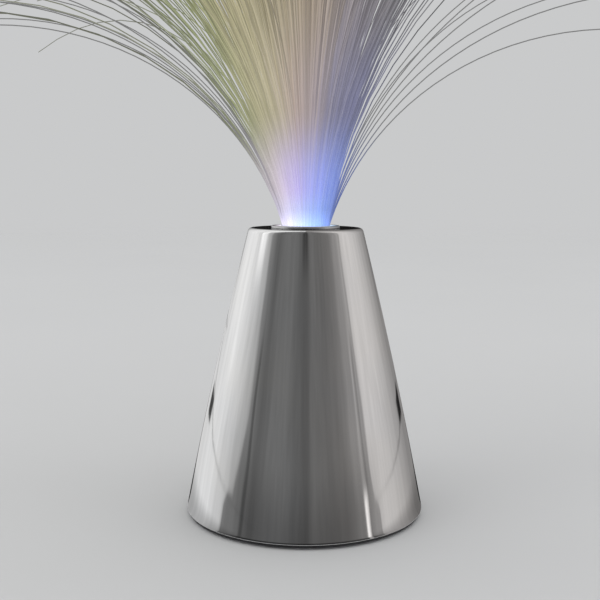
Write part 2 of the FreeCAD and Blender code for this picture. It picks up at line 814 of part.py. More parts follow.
def make_switch_body():
    body = new_body("switch_body")
    place = "derived.switch_place"
    case = new_sketch(body, "case_outline", height="derived.switch_under")
    half = "sizes.switch_width / 2"
    reach = "sizes.switch_length / 2"
    add_rectangle(case, f"{place} - {half}", f"{place} + {half}", f"-{reach}", reach)
    add_pad(body, case, "switch_case", "sizes.switch_height")
    ears = new_sketch(body, "ear_outline", height="derived.switch_under")
    half = "sizes.ear_width / 2"
    reach = "sizes.ear_reach"
    add_rectangle(ears, f"{place} - {half}", f"{place} + {half}", f"-{reach}", reach)
    add_pad(body, ears, "switch_ears", "sizes.ear_thickness")
    pins = new_sketch(body, "terminal_outlines", height="derived.switch_top")
    half = "sizes.terminal_width / 2"
    for number in (-1, 0, 1):
        front = f"{number} * sizes.terminal_pitch - sizes.terminal_thickness / 2"
        back = f"{number} * sizes.terminal_pitch + sizes.terminal_thickness / 2"
        add_rectangle(pins, f"{place} - {half}", f"{place} + {half}", front, back)
    add_pad(body, pins, "terminals", "sizes.terminal_height")
    track = new_sketch(body, "track_outline", height="derived.switch_under")
    add_switch_slot(track)
    depth = "sizes.knob_stem_top + sizes.slot_gap - derived.switch_under"
    add_pocket(body, track, "knob_track", depth)
    holes = new_sketch(body, "ear_hole_outlines", height="derived.switch_under")
    for x, y in stake_places():
        add_circle(holes, x, y, "sizes.stake_radius + sizes.stake_gap")
    add_pocket(body, holes, "ear_holes", "sizes.ear_thickness")
    return body


# The knob stands at the end of its slot where the lamp is on.
def make_switch_knob():
    x = "derived.switch_place"
    y = "derived.knob_place"
    half = "sizes.knob_stem_width / 2"
    reach = "sizes.knob_stem_length / 2"
    edges = [f"{x} - {half}", f"{x} + {half}", f"{y} - {reach}", f"{y} + {reach}"]
    stem = add_box("knob_stem", *edges, "derived.grip_top", "sizes.knob_stem_top")
    half = "sizes.knob_grip_width / 2"
    reach = "sizes.knob_grip_length / 2"
    edges = [f"{x} - {half}", f"{x} + {half}", f"{y} - {reach}", f"{y} + {reach}"]
    grip = add_box("knob_grip", *edges, "sizes.knob_clear", "derived.grip_top")
    grooves = []
    for number in (-1, 0, 1):
        groove = "sizes.grip_groove"
        middle = f"{y} + {number} * sizes.grip_groove_pitch"
        front = f"{middle} - {groove} / 2"
        back = f"{middle} + {groove} / 2"
        under = f"sizes.knob_clear - {groove}"
        top = f"sizes.knob_clear + {groove}"
        sides = [f"{x} - {half} - {groove}", f"{x} + {half} + {groove}"]
        grooves.append(add_box(f"groove_{number + 1}", *sides, front, back, under, top))
    ridged = document.addObject("Part::Cut", "ridged_grip")
    ridged.Base = grip
    ridged.Tool = group("grip_grooves", grooves)
    return join("switch_knob", [stem, ridged])


# ---- the battery door


def make_battery_door():
    body = new_body("battery_door")
    panel = new_sketch(body, "panel_outline", height="sizes.foot_height")
    across = "derived.door_across"
    along = "derived.door_along"
    add_rectangle(panel, f"-{across}", across, f"-{along}", along)
    add_pad(body, panel, "panel", "sizes.door_thickness")
    # two hinge tabs stand on the front edge and hook over the plate
    stems = new_sketch(body, "stem_outlines", height="derived.door_top")
    lips = new_sketch(body, "lip_outlines", height="derived.tab_under")
    for side in (-1, 1):
        left = f"{side} * sizes.tab_place - sizes.tab_width / 2"
        right = f"{side} * sizes.tab_place + sizes.tab_width / 2"
        back = f"-{along} + sizes.tab_stem"
        add_rectangle(stems, left, right, f"-{along}", back)
        add_rectangle(lips, left, right, f"-{along} - sizes.tab_reach", back)
    add_pad(body, stems, "tab_stems", "derived.tab_top - derived.door_top")
    add_pad(body, lips, "tab_lips", "sizes.tab_thickness")
    # the latch tongue is cut free on both sides and carries a nose
    nose = new_sketch(body, "nose_outline", height="derived.door_top")
    half = "sizes.nose_width / 2"
    back = "derived.box_along - sizes.door_gap"
    add_rectangle(nose, f"-{half}", half, f"{back} - sizes.nose_depth", back)
    add_pad(body, nose, "latch_nose", "sizes.nose_height")
    slits = new_sketch(body, "slit_outlines", height="sizes.foot_height")
    for side in (-1, 1):
        inner = f"{side} * sizes.tongue_width / 2"
        outer = f"{side} * (sizes.tongue_width / 2 + sizes.tongue_slit)"
        left, right = sorted([inner, outer], key=value)
        root = f"{along} - sizes.tongue_length"
        add_rectangle(slits, left, right, root, f"{along} + sizes.tongue_slit")
    add_pocket(body, slits, "tongue_slits", "sizes.door_thickness")
    thumb = new_sketch(body, "thumb_outline", height="sizes.foot_height")
    add_circle(thumb, "0", f"{along} - sizes.thumb_radius - sizes.tongue_slit", "sizes.thumb_radius")
    add_pocket(body, thumb, "thumb_notch", "sizes.thumb_depth")
    return body


# ---- leads from the battery to the switch and the board


def make_leads():
    tail = "(derived.contact_face + derived.box_along) / 2"
    pitch = "sizes.cell_pitch"
    switch = "derived.switch_place"
    pin = "sizes.terminal_pitch"
    over_tail = "derived.tail_top + sizes.lead_rise"
    over_box = "derived.box_top + sizes.lead_rise"
    low = "derived.board_under - sizes.lead_drop"
    routes = {
        "lead_red": [
            (pitch, tail, "derived.tail_top"),
            (pitch, tail, over_tail),
            ("sizes.red_pad_x", "sizes.red_pad_y", low),
            ("sizes.red_pad_x", "sizes.red_pad_y", "derived.board_under"),
        ],
        "lead_black": [
            (f"-{pitch}", f"-{tail}", "derived.tail_top"),
            (f"-{pitch}", f"-{tail}", over_box),
            (switch, f"-{pin}", over_box),
            (switch, f"-{pin}", "derived.terminal_top"),
        ],
        "lead_switch": [
            (switch, pin, "derived.terminal_top"),
            (switch, pin, f"{over_box} - sizes.lead_apart"),
            ("sizes.switch_pad_x", "sizes.switch_pad_y", low),
            ("sizes.switch_pad_x", "sizes.switch_pad_y", "derived.board_under"),
        ],
    }
    leads = []
    for name, stops in routes.items():
        leads.append(add_shape(name, swept_lead([point(*stop) for stop in stops])))
    return leads


# ---- the light engine under the fibres


def make_led_board():
    under = "derived.board_under"
    return add_bar("led_board", "sizes.board_radius", "sizes.board_thickness", "0", "0", under)


# Flat-top LEDs, one for each colour
def make_rgb_leds():
    leds = []
    for number, (x, y) in enumerate(round_places("sizes.led_circle", LED_COUNT, 90)):
        top = "derived.tube_bottom"
        leds.append(add_bar(f"led_{number}", "sizes.led_radius", "sizes.led_height", x, y, top))
    return group("rgb_leds", leds)


def make_driver_chip():
    half_x = "sizes.chip_length / 2"
    half_y = "sizes.chip_width / 2"
    under = "derived.board_under - sizes.chip_height"
    chip = add_box("driver_chip", f"-{half_x}", half_x, f"-{half_y}", half_y, under, "derived.board_under")
    return chip


def make_board_resistors():
    resistors = []
    front = "-sizes.chip_width - sizes.resistor_length"
    for number in (-1, 0, 1):
        place = f"{number} * sizes.resistor_pitch"
        left = f"{place} - sizes.resistor_width / 2"
        right = f"{place} + sizes.resistor_width / 2"
        back = f"{front} + sizes.resistor_length"
        under = "derived.board_under - sizes.resistor_height"
        name = f"resistor_{number + 1}"
        resistors.append(add_box(name, left, right, front, back, under, "derived.board_under"))
    return group("board_resistors", resistors)


# A round body turned from an outline in the XZ plane.
def make_turned(name, corners):
    body = new_body(name)
    outline = new_sketch(body, f"{name}_outline", "XZ_Plane")
    add_outline(outline, corners)
    add_turn(body, outline, f"{name}_turned")
    return body


def make_socket_tube():
    corners = [
        ("derived.tube_bore", "derived.tube_bottom"),
        ("derived.tube_radius", "derived.tube_bottom"),
        ("derived.tube_radius", "derived.shell_ceiling"),
        ("derived.tube_bore", "derived.shell_ceiling"),
    ]
    body = make_turned("socket_tube", corners)
    # hooks on the lower end snap under the LED board
    root = "(derived.tube_bore + sizes.tube_wall / 2)"
    inside = "derived.hook_inside"
    outside = f"({inside} + sizes.hook_thickness)"
    nose_top = "derived.board_under - sizes.hook_gap"
    nose_under = f"{nose_top} - sizes.hook_nose_height"
    hook_top = "derived.tube_bottom + sizes.hook_root"
    hook_corners = [
        (outside, hook_top),
        (root, hook_top),
        (root, "derived.tube_bottom"),
        (inside, "derived.tube_bottom"),
        (inside, nose_top),
        (f"{inside} - sizes.hook_nose", nose_top),
        (inside, nose_under),
        (outside, nose_under),
    ]
    hook_outline = new_sketch(body, "hook_outline", "XZ_Plane")
    add_outline(hook_outline, hook_corners)
    hook = add_pad(body, hook_outline, "hook", "sizes.hook_width")
    hook.Midplane = True
    axis = new_sketch(body, "hook_axis")
    add_polar_copies(body, [hook], axis, "hooks", HOOK_COUNT)
    return body


# ---- the fibre head


def make_ferrule():
    corners = [
        ("derived.ferrule_bore", "derived.ferrule_under"),
        ("sizes.ferrule_radius", "derived.ferrule_under"),
        ("sizes.ferrule_radius", "derived.shell_top"),
        ("sizes.ring_radius", "derived.shell_top"),
        ("sizes.ring_radius", "derived.ring_top"),
        ("derived.ferrule_bore", "derived.ring_top"),
    ]
    return make_turned("ferrule", corners)


def make_bundle_core():
    height = "derived.ring_top - derived.ferrule_under"
    return add_bar("bundle_core", "derived.bundle_radius", height, "0", "0", "derived.ferrule_under")


# One fibre is piped along straight spans that lean further out from span to span, most of all
# near the ferrule, where the weight of the rest bends it. Each ring repeats it about the axis.
# Outer rings lean and droop more, so no two fibres cross; the outermost is a few loose fibres.
def make_fibre_ring(number):
    name = f"fibre_ring_{number}" if number else "fibre_centre"
    body = new_body(name)
    foot = f"({number} * sizes.fibre_ring_pitch)"
    outline = new_sketch(body, "fibre_outline", height="derived.ring_top")
    corners = []
    for corner in range(FIBRE_SIDES):
        angle = 360 * corner / FIBRE_SIDES
        across = f"{foot} + sizes.fibre_radius * cos({angle})"
        corners.append((across, f"sizes.fibre_radius * sin({angle})"))
    add_outline(outline, corners)
    path = new_sketch(body, "fibre_path", "XZ_Plane")
    spans = (number + 2) // 2
    span = f"sizes.fibre_length / {spans}"
    x = foot
    z = "derived.ring_top"
    stops = [(x, z)]
    for step in range(spans):
        rest = 1 - (step + 0.5) / spans
        bend = f"(1 - {rest} ^ sizes.fibre_bend_exponent)"
        growth = f"(sizes.fibre_lean_share + (1 - sizes.fibre_lean_share) * {bend})"
        share = f"({number / FIBRE_RINGS} ^ sizes.fibre_spread_exponent)"
        lean = f"(sizes.fibre_droop * {share} * {growth})"
        x = f"{x} + {span} * sin({lean})"
        z = f"{z} + {span} * cos({lean})"
        stops.append((x, z))
    for start, end in zip(stops, stops[1:]):
        edge = path.addGeometry(Part.LineSegment(point(*start, 0), point(*end, 0)))
        for place, stop in ((1, start), (2, end)):
            bind(path, Sketcher.Constraint("DistanceX", edge, place, value(stop[0])), stop[0])
            bind(path, Sketcher.Constraint("DistanceY", edge, place, value(stop[1])), stop[1])
    fibre = body.newObject("PartDesign::AdditivePipe", "fibre")
    fibre.Profile = outline
    fibre.Spine = (path, [f"Edge{edge + 1}" for edge in range(len(stops) - 1)])
    fibre.Transition = "Right corner"
    document.recompute()
    if number:
        count = FIBRES_PER_RING_STEP * number if number < FIBRE_RINGS else LOOSE_FIBRES
        add_polar_copies(body, [fibre], outline, "fibres_round_the_ring", count)
    return body


# ---- build, check and write


def build_lamp():
    parts = [make_chrome_shell(), make_base_plate(), make_rubber_feet()]
    parts.append(make_screws("base_screws", "base_screw", post_places(), "derived.base_screw_under"))
    parts.append(make_aa_cells())
    parts += make_end_contacts()
    parts += [make_bridge_contacts(), make_switch_body(), make_switch_knob()]
    parts.append(make_battery_door())
    parts += make_leads()
    parts += [make_led_board(), make_rgb_leds(), make_driver_chip(), make_board_resistors()]
    parts.append(make_socket_tube())
    parts += [make_ferrule(), make_bundle_core()]
    parts += [make_fibre_ring(number) for number in range(FIBRE_RINGS + 1)]
    return parts


def check_document():
    for item in document.Objects:
        faults = [state for state in item.State if state in ("Invalid", "Error")]
        if faults:
            raise ValueError(f"{item.Label} is {faults}")


def write_parts(parts):
    os.makedirs("parts", exist_ok=True)
    for part in parts:
        shape = part.Shape
        if shape.isNull() or not shape.isValid() or not shape.Solids:
            raise ValueError(f"{part.Label} has no valid solid")
        print(f"{part.Label}: {len(shape.Solids)} solids, {shape.Volume:.1f} mm3")
        shape.exportStep(f"parts/{part.Label}.step")


lamp_parts = build_lamp()
document.recompute()
check_document()
write_parts(lamp_parts)
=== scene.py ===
import math
import random

import bmesh
import bpy
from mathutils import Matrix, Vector


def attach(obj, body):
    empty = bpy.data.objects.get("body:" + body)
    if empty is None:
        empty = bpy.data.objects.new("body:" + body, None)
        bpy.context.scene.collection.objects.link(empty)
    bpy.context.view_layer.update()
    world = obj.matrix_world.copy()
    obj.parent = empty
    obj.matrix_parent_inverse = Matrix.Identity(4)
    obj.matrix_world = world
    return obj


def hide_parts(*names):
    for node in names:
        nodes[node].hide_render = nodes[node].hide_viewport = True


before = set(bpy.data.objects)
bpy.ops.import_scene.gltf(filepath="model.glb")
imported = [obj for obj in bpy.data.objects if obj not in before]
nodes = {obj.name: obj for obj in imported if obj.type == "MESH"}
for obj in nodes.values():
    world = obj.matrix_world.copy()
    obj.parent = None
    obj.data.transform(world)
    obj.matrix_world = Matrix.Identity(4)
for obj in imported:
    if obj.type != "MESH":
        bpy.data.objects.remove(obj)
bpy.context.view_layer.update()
scene = bpy.context.scene
scene.view_settings.view_transform = "Standard"
print("frame loaded:", len(nodes), "nodes")


# camera first, so that every later size is judged through it

cameraSet = {
    "lens": 58.47,
    "sensor": 36,
    "nearClip": 0.01,
    "back": 0.3564,
    "height": 0.1235,
    "tiltDown": 0.1241,
    "roll": -0.0045,
    "shiftX": -0.0098,
}


def addCamera(sizes):
    bpy.ops.object.camera_add(location=(0, -sizes["back"], sizes["height"]))
    camera = bpy.context.active_object
    camera.name = "viewCamera"
    camera.rotation_euler = (math.pi / 2 - sizes["tiltDown"], sizes["roll"], 0)
    camera.data.lens = sizes["lens"]
    camera.data.sensor_width = sizes["sensor"]
    camera.data.shift_x = sizes["shiftX"]
    camera.data.clip_start = sizes["nearClip"]
    camera.data.dof.use_dof = False
    scene.camera = camera


addCamera(cameraSet)
print("camera placed")


# small helpers for editing by hand

mergeDistance = 0.000002
ringSlack = 0.00003  # how far off a corner may be and still count as part of a ring
smoothTurn = 35  # edges that bend more than this many degrees stay sharp


def nothingSelected():
    if bpy.context.mode != "OBJECT":
        bpy.ops.object.mode_set(mode="OBJECT")
    bpy.ops.object.select_all(action="DESELECT")


def beginRing(name, radius, height, corners, middle):
    nothingSelected()
    place = (middle[0], middle[1], height)
    bpy.ops.mesh.primitive_circle_add(vertices=corners, radius=radius, location=place)
    piece = bpy.context.active_object
    piece.name = name
    bpy.ops.object.transform_apply(location=True, rotation=True, scale=True)
    bpy.ops.object.mode_set(mode="EDIT")
    bpy.ops.mesh.select_all(action="SELECT")
    return piece


def pullRing(start, end, middle):
    # start and end are (radius, height); the ring that is selected is drawn out to the next one
    bpy.ops.mesh.extrude_region_move(TRANSFORM_OT_translate={"value": (0, 0, end[1] - start[1])})
    share = end[0] / start[0]
    bpy.ops.transform.resize(value=(share, share, 1), center_override=(middle[0], middle[1], end[1]))


def turnOutline(name, outline, corners, middle=(0, 0)):
    piece = beginRing(name, outline[0][0], outline[0][1], corners, middle)
    for start, end in zip(outline, outline[1:]):
        pullRing(start, end, middle)
    return piece


def pickRing(piece, radius, height):
    bpy.ops.mesh.select_mode(type="EDGE")
    bpy.ops.mesh.select_all(action="DESELECT")
    shape = bmesh.from_edit_mesh(piece.data)
    for edge in shape.edges:
        onRing = True
        for corner in edge.verts:
            far = math.hypot(corner.co.x, corner.co.y)
            if abs(far - radius) > ringSlack or abs(corner.co.z - height) > ringSlack:
                onRing = False
        edge.select_set(onRing)
    bmesh.update_edit_mesh(piece.data)


def roundRing(piece, radius, height, width, steps):
    pickRing(piece, radius, height)
    bpy.ops.mesh.bevel(offset=width, offset_type="OFFSET", segments=steps, profile=0.5)


def mergeAndFaceOut():
    bpy.ops.mesh.select_all(action="SELECT")
    bpy.ops.mesh.remove_doubles(threshold=mergeDistance)
    bpy.ops.mesh.normals_make_consistent(inside=False)


def closeMesh(piece, turn=smoothTurn):
    mergeAndFaceOut()
    bpy.ops.object.mode_set(mode="OBJECT")
    bpy.ops.object.shade_smooth_by_angle(angle=math.radians(turn))
    return piece


# the chromed housing: a tapered cup with a soft belly, rounded at the shoulder

shellSizes = {
    "foot": 0.044,
    "top": 0.0208,
    "low": 0.0018,
    "high": 0.1057,
    "belly": 0.00077,
    "wall": 0.002,
    "hole": 0.0113,
    "shoulderRound": 0.0012,
    "shoulderSteps": 6,
    "footRound": 0.0004,
    "footSteps": 3,
    "holeRound": 0.00024,
    "holeSteps": 2,
    "edgeRing": 0.0009,
    "bands": 22,
    "corners": 160,
}


def shellRadius(sizes, height):
    share = (height - sizes["low"]) / (sizes["high"] - sizes["low"])
    straight = sizes["foot"] + (sizes["top"] - sizes["foot"]) * share
    return straight + sizes["belly"] * 4 * share * (1 - share)


def makeShell(sizes):
    # the first and last rings lie close to the edges, so that the rounding there stays narrow
    heights = [sizes["low"], sizes["low"] + sizes["edgeRing"]]
    for band in range(1, sizes["bands"]):
        heights.append(sizes["low"] + (sizes["high"] - sizes["low"]) * band / sizes["bands"])
    heights += [sizes["high"] - 2 * sizes["edgeRing"], sizes["high"]]
    outline = [(shellRadius(sizes, height), height) for height in heights]
    outline.append((sizes["hole"], sizes["high"]))
    piece = turnOutline("chromeShell", outline, sizes["corners"])
    roundRing(piece, sizes["top"], sizes["high"], sizes["shoulderRound"], sizes["shoulderSteps"])
    closeMesh(piece)
    wall = piece.modifiers.new("wall", "SOLIDIFY")
    wall.thickness = sizes["wall"]
    wall.offset = -1
    wall.use_even_offset = True
    bpy.context.view_layer.objects.active = piece
    bpy.ops.object.modifier_apply(modifier="wall")
    bpy.ops.object.mode_set(mode="EDIT")
    roundRing(piece, sizes["foot"], sizes["low"], sizes["footRound"], sizes["footSteps"])
    roundRing(piece, sizes["hole"], sizes["high"], sizes["holeRound"], sizes["holeSteps"])
    return closeMesh(piece)


# inside the housing: the collar that holds the socket, and three screw posts cast with the wall

insideSizes = {
    "collar": {"outer": 0.0146, "bore": 0.0131, "low": 0.0977, "high": 0.1037, "corners": 40},
    "post": {"outer": 0.0032, "bore": 0.0010, "low": 0.0029, "high": 0.0240, "corners": 24},
    "postTurns": (90, 210, 330),
    "postCircle": 0.0356,
}


def makeSleeve(name, sizes, middle=(0, 0)):
    outline = [
        (sizes["outer"], sizes["high"]),
        (sizes["outer"], sizes["low"]),
        (sizes["bore"], sizes["low"]),
        (sizes["bore"], sizes["high"]),
    ]
    return closeMesh(turnOutline(name, outline, sizes["corners"], middle))


def makeInsides(sizes):
    pieces = [makeSleeve("shellCollar", sizes["collar"])]
    for degrees in sizes["postTurns"]:
        turn = math.radians(degrees)
        middle = (sizes["postCircle"] * math.cos(turn), sizes["postCircle"] * math.sin(turn))
        pieces.append(makeSleeve("shellPost", sizes["post"], middle))
    return pieces


def joinInto(first, others):
    nothingSelected()
    for piece in others:
        piece.select_set(True)
    first.select_set(True)
    bpy.context.view_layer.objects.active = first
    bpy.ops.object.join()


shell = makeShell(shellSizes)
joinInto(shell, makeInsides(insideSizes))
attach(shell, "base")
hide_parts("chrome_shell")
print("housing made:", len(shell.data.polygons), "faces")


# the ferrule: a thin turned sleeve with a rounded flange that stands on the housing's top

ferruleSizes = {
    "bore": 0.0091,
    "body": 0.011,
    "flange": 0.0125,
    "low": 0.0805,
    "seat": 0.1057,
    "high": 0.1065,
    "flangeRound": 0.000352,
    "flangeSteps": 4,
    "boreRound": 0.00022,
    "seatRound": 0.000132,
    "innerSteps": 2,
    "corners": 96,
}


def makeFerrule(sizes):
    outline = [
        (sizes["bore"], sizes["high"]),
        (sizes["flange"], sizes["high"]),
        (sizes["flange"], sizes["seat"]),
        (sizes["body"], sizes["seat"]),
        (sizes["body"], sizes["low"]),
        (sizes["bore"], sizes["low"]),
        (sizes["bore"], sizes["high"]),
    ]
    piece = turnOutline("fibreFerrule", outline, sizes["corners"])
    mergeAndFaceOut()
    roundRing(piece, sizes["flange"], sizes["high"], sizes["flangeRound"], sizes["flangeSteps"])
    roundRing(piece, sizes["bore"], sizes["high"], sizes["boreRound"], sizes["innerSteps"])
    roundRing(piece, sizes["flange"], sizes["seat"], sizes["seatRound"], sizes["innerSteps"])
    return closeMesh(piece)


ferrule = makeFerrule(ferruleSizes)
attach(ferrule, "fibre_head")
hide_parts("ferrule")
print("ferrule made:", len(ferrule.data.polygons), "faces")


# the fibres: close-packed at the ferrule, each one leaning out further along its length

strandSizes = {
    "seed": 20,
    "thickness": 0.0004,
    "length": 0.2190,
    "shorter": 0.010,
    "tip": 0.0006,
    "root": 0.1061,
    "bundle": 0.0085,
    "offCentre": 0.0002,
    "pitch": 0.000415,
    "rowStep": 0.866,  # of the pitch, as close-packed rods lie
    "rootJitter": 0.00010,
    "fullLean": 122.0,
    "rootShare": 0.14,
    "stiffen": 1.3,
    "spanGrowth": 1.2,
    "spread": 2.26,
    "leftReach": 0.64,
    "rightReach": 0.39,
    "leastShare": 0.004,
    "mostShare": 0.992,
    "leanJitter": 0.289,
    "turnJitter": 4.0,
    "drift": 7.0,
    "strayRoot": 0.97,
    "strayPoints": 38,
    "rootPart": 0.25,  # how much of a strand's side comes from its root, the rest from where it is
    "sideNoise": 0.04,
    "powerLow": 0.88,
    "powerHigh": 1.10,
    "lastSpan": 0.98,  # as far as the light is marked along a strand, with 1 for the tip itself
    "mergeDistance": 0.000001,
    "smoothTurn": 100,
}

# half the spray's width at a height above the ferrule, and how far it leans to the left there
spraySizes = {
    "neck": 0.0088,
    "open": 0.33,
    "curl": 3.2,
    "most": 0.11,
    "lean": 0.055,
}


def hexRoots(sizes):
    roots = []
    rowPitch = sizes["pitch"] * sizes["rowStep"]
    rows = int(sizes["bundle"] / rowPitch) + 1
    for row in range(-rows, rows + 1):
        y = row * rowPitch
        for step in range(-rows - 2, rows + 3):
            x = (step + 0.5 * (row % 2)) * sizes["pitch"]
            if math.hypot(x, y) < sizes["bundle"]:
                roots.append((x, y))
    return roots


def strandPath(sizes, points, strand):
    x, y, z = strand["root"][0] + sizes["offCentre"], strand["root"][1], sizes["root"]
    path = [(x, y, z)]
    spans = points - 2
    for span in range(spans + 1):
        start = (span / spans) ** sizes["spanGrowth"]
        end = ((span + 1) / spans) ** sizes["spanGrowth"]
        along = min((start + end) / 2, 1)
        bent = 1 - (1 - along) ** sizes["stiffen"]
        droop = sizes["rootShare"] + (1 - sizes["rootShare"]) * bent
        lean = math.radians(sizes["fullLean"] * strand["share"] * droop)
        heading = strand["turn"] + strand["drift"] * along * along
        step = strand["length"] * (end - start) if span < spans else sizes["tip"]
        x += step * math.sin(lean) * math.cos(heading)
        y += step * math.sin(lean) * math.sin(heading)
        z += step * math.cos(lean)
        path.append((x, y, z))
    return path


def planStrands(sizes):
    # share is how far out a strand leans, 1 for the widest; turn is its compass direction
    chance = random.Random(sizes["seed"])
    nudge = sizes["rootJitter"]
    middle = (sizes["leftReach"] + sizes["rightReach"]) / 2
    swing = (sizes["leftReach"] - sizes["rightReach"]) / 2
    strands = []
    for place in hexRoots(sizes):
        root = (place[0] + nudge * chance.gauss(0, 1), place[1] + nudge * chance.gauss(0, 1))
        far = min(math.hypot(root[0], root[1]), sizes["bundle"])
        turn = math.atan2(root[1], root[0])
        reach = middle - swing * math.cos(turn)
        share = reach * (far / sizes["bundle"]) ** sizes["spread"]
        share *= 1 + sizes["leanJitter"] * chance.gauss(0, 1)
        turn += math.radians(sizes["turnJitter"]) * chance.gauss(0, 1)
        length = sizes["length"] - sizes["shorter"] * chance.random() ** 2
        drift = math.radians(sizes["drift"]) * chance.gauss(0, 1)
        side = root[0] / sizes["bundle"] + sizes["sideNoise"] * chance.gauss(0, 1)
        power = sizes["powerLow"] + (sizes["powerHigh"] - sizes["powerLow"]) * chance.random()
        strands.append({
            "root": root,
            "share": max(sizes["leastShare"], min(share, sizes["mostShare"])),
            "turn": turn,
            "length": length,
            "drift": drift,
            "side": side,
            "power": power,
        })
    return strands


# loose fibres that stand out past the rest: light, then compass direction in degrees and how far out
strayStrands = [
    (0.74, [
        (0, 0.992), (-5, 0.90), (11, 0.84), (-19, 0.80), (24, 0.76), (-12, 0.72), (17, 0.69),
        (180, 0.988), (185, 0.93), (173, 0.95), (191, 0.88), (166, 0.86),
        (199, 0.83), (158, 0.80), (177, 0.91), (188, 0.80), (170, 0.77),
    ]),
    (0.90, [
        (90, 0.992), (-98, 0.97), (52, 0.70), (128, 0.72), (-58, 0.66),
        (-123, 0.68), (104, 0.64), (76, 0.60), (-77, 0.62), (-104, 0.60),
    ]),
]


def planStrays(sizes):
    ring = sizes["strayRoot"] * sizes["bundle"]
    strays = []
    for power, leanings in strayStrands:
        for degrees, share in leanings:
            turn = math.radians(degrees)
            strays.append({
                "root": (ring * math.cos(turn), ring * math.sin(turn)),
                "share": share,
                "turn": turn,
                "length": sizes["length"],
                "drift": 0.0,
                "side": math.cos(turn),
                "power": power,
            })
    return strays


def spraySide(sizes, spray, place, side):
    # how far to the left or right a point of the spray lies, with a part set by its own root
    rise = max(0, place[2] - sizes["root"])
    half = min(spray["neck"] + spray["open"] * rise + spray["curl"] * rise * rise, spray["most"])
    across = (place[0] + spray["lean"] * rise) / half
    part = sizes["rootPart"]
    return max(-1, min(1, part * side + (1 - part) * across))


def drawCurve(name, sizes, paths):
    curve = bpy.data.curves.new(name, "CURVE")
    curve.dimensions = "3D"
    curve.bevel_depth = sizes["thickness"] / 2
    curve.bevel_resolution = 0
    curve.use_fill_caps = True
    for path in paths:
        line = curve.splines.new("POLY")
        line.points.add(len(path) - 1)
        for point, place in zip(line.points, path):
            point.co = (place[0], place[1], place[2], 1)
    piece = bpy.data.objects.new(name, curve)
    scene.collection.objects.link(piece)
    nothingSelected()
    piece.select_set(True)
    bpy.context.view_layer.objects.active = piece
    bpy.ops.object.convert(target="MESH")
    return piece


def noteLight(mesh, sizes, strands, sides, points):
    # every corner is told its strand's light, how far along it is, and how far left or right
    side = mesh.attributes.new("strandSide", "FLOAT", "POINT")
    along = mesh.attributes.new("strandAlong", "FLOAT", "POINT")
    power = mesh.attributes.new("strandPower", "FLOAT", "POINT")
    # the end caps come first, last strand first and tip before root, then each tube from its root
    capCorners = 4
    bothCaps = 2 * capCorners
    allCaps = bothCaps * len(strands)
    spans = points - 2
    for index in range(len(mesh.vertices)):
        if index < allCaps:
            which = len(strands) - 1 - index // bothCaps
            point = points - 1 if index % bothCaps < capCorners else 0
        else:
            which = (index - allCaps) // (capCorners * points)
            point = ((index - allCaps) % (capCorners * points)) // capCorners
        share = (point / spans) ** sizes["spanGrowth"]
        side.data[index].value = sides[which][point]
        along.data[index].value = 1.0 if point > spans else sizes["lastSpan"] * share
        power.data[index].value = strands[which]["power"]


def makeStrands(name, sizes, spray, strands, points):
    paths = [strandPath(sizes, points, strand) for strand in strands]
    sides = []
    for strand, path in zip(strands, paths):
        sides.append([spraySide(sizes, spray, place, strand["side"]) for place in path])
    piece = drawCurve(name, sizes, paths)
    noteLight(piece.data, sizes, strands, sides, points)
    bpy.ops.object.mode_set(mode="EDIT")
    bpy.ops.mesh.select_all(action="SELECT")
    bpy.ops.mesh.remove_doubles(threshold=sizes["mergeDistance"])
    bpy.ops.object.mode_set(mode="OBJECT")
    bpy.ops.object.shade_smooth_by_angle(angle=math.radians(sizes["smoothTurn"]))
    return piece


# name, what it stands for, root radius from and to, points along each strand
bunchNodes = [
    ("fibreBunch1", ["fibre_centre", "fibre_ring_1"], 0.0, 0.0016, 9),
    ("fibreBunch2", ["fibre_ring_2"], 0.0016, 0.0027, 9),
    ("fibreBunch3", ["fibre_ring_3"], 0.0027, 0.0037, 10),
    ("fibreBunch4", ["fibre_ring_4"], 0.0037, 0.0048, 11),
    ("fibreBunch5", ["fibre_ring_5"], 0.0048, 0.0059, 12),
    ("fibreBunch6", ["fibre_ring_6"], 0.0059, 0.0070, 14),
    ("fibreBunch7", ["fibre_ring_7"], 0.0070, 1.0, 16),
]


def planBunches(sizes):
    strands = planStrands(sizes)
    plans = []
    for name, stoodFor, inner, outer, points in bunchNodes:
        chosen = [strand for strand in strands if inner <= math.hypot(*strand["root"]) < outer]
        plans.append((name, stoodFor, chosen, points))
    plans.append(("looseFibres", ["fibre_ring_8"], planStrays(sizes), sizes["strayPoints"]))
    return plans


bunches = []
for name, stoodFor, chosen, points in planBunches(strandSizes):
    bunch = makeStrands(name, strandSizes, spraySizes, chosen, points)
    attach(bunch, "fibre_head")
    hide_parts(*stoodFor)
    bunch.visible_glossy = False
    bunches.append(bunch)
    print(name, "made:", len(chosen), "strands,", len(bunch.data.polygons), "faces")


# helpers for materials

def linear(value):
    value = value / 255
    return value / 12.92 if value <= 0.04045 else ((value + 0.055) / 1.055) ** 2.4


def tone(red, green, blue):
    return (linear(red), linear(green), linear(blue), 1)


def feed(tree, socket, value):
    # another node's output is linked, and anything else is set as the socket's own value
    if isinstance(value, bpy.types.NodeSocket):
        tree.links.new(value, socket)
    else:
        socket.default_value = value


def feedAll(tree, node, values):
    for name, value in values.items():
        feed(tree, node.inputs[name], value)


def addNode(tree, kind, **settings):
    node = tree.nodes.new(kind)
    for name, value in settings.items():
        setattr(node, name, value)
    return node


def addMath(tree, operation, first, second=None):
    node = addNode(tree, "ShaderNodeMath", operation=operation)
    feed(tree, node.inputs[0], first)
    if second is not None:
        feed(tree, node.inputs[1], second)
    return node.outputs[0]


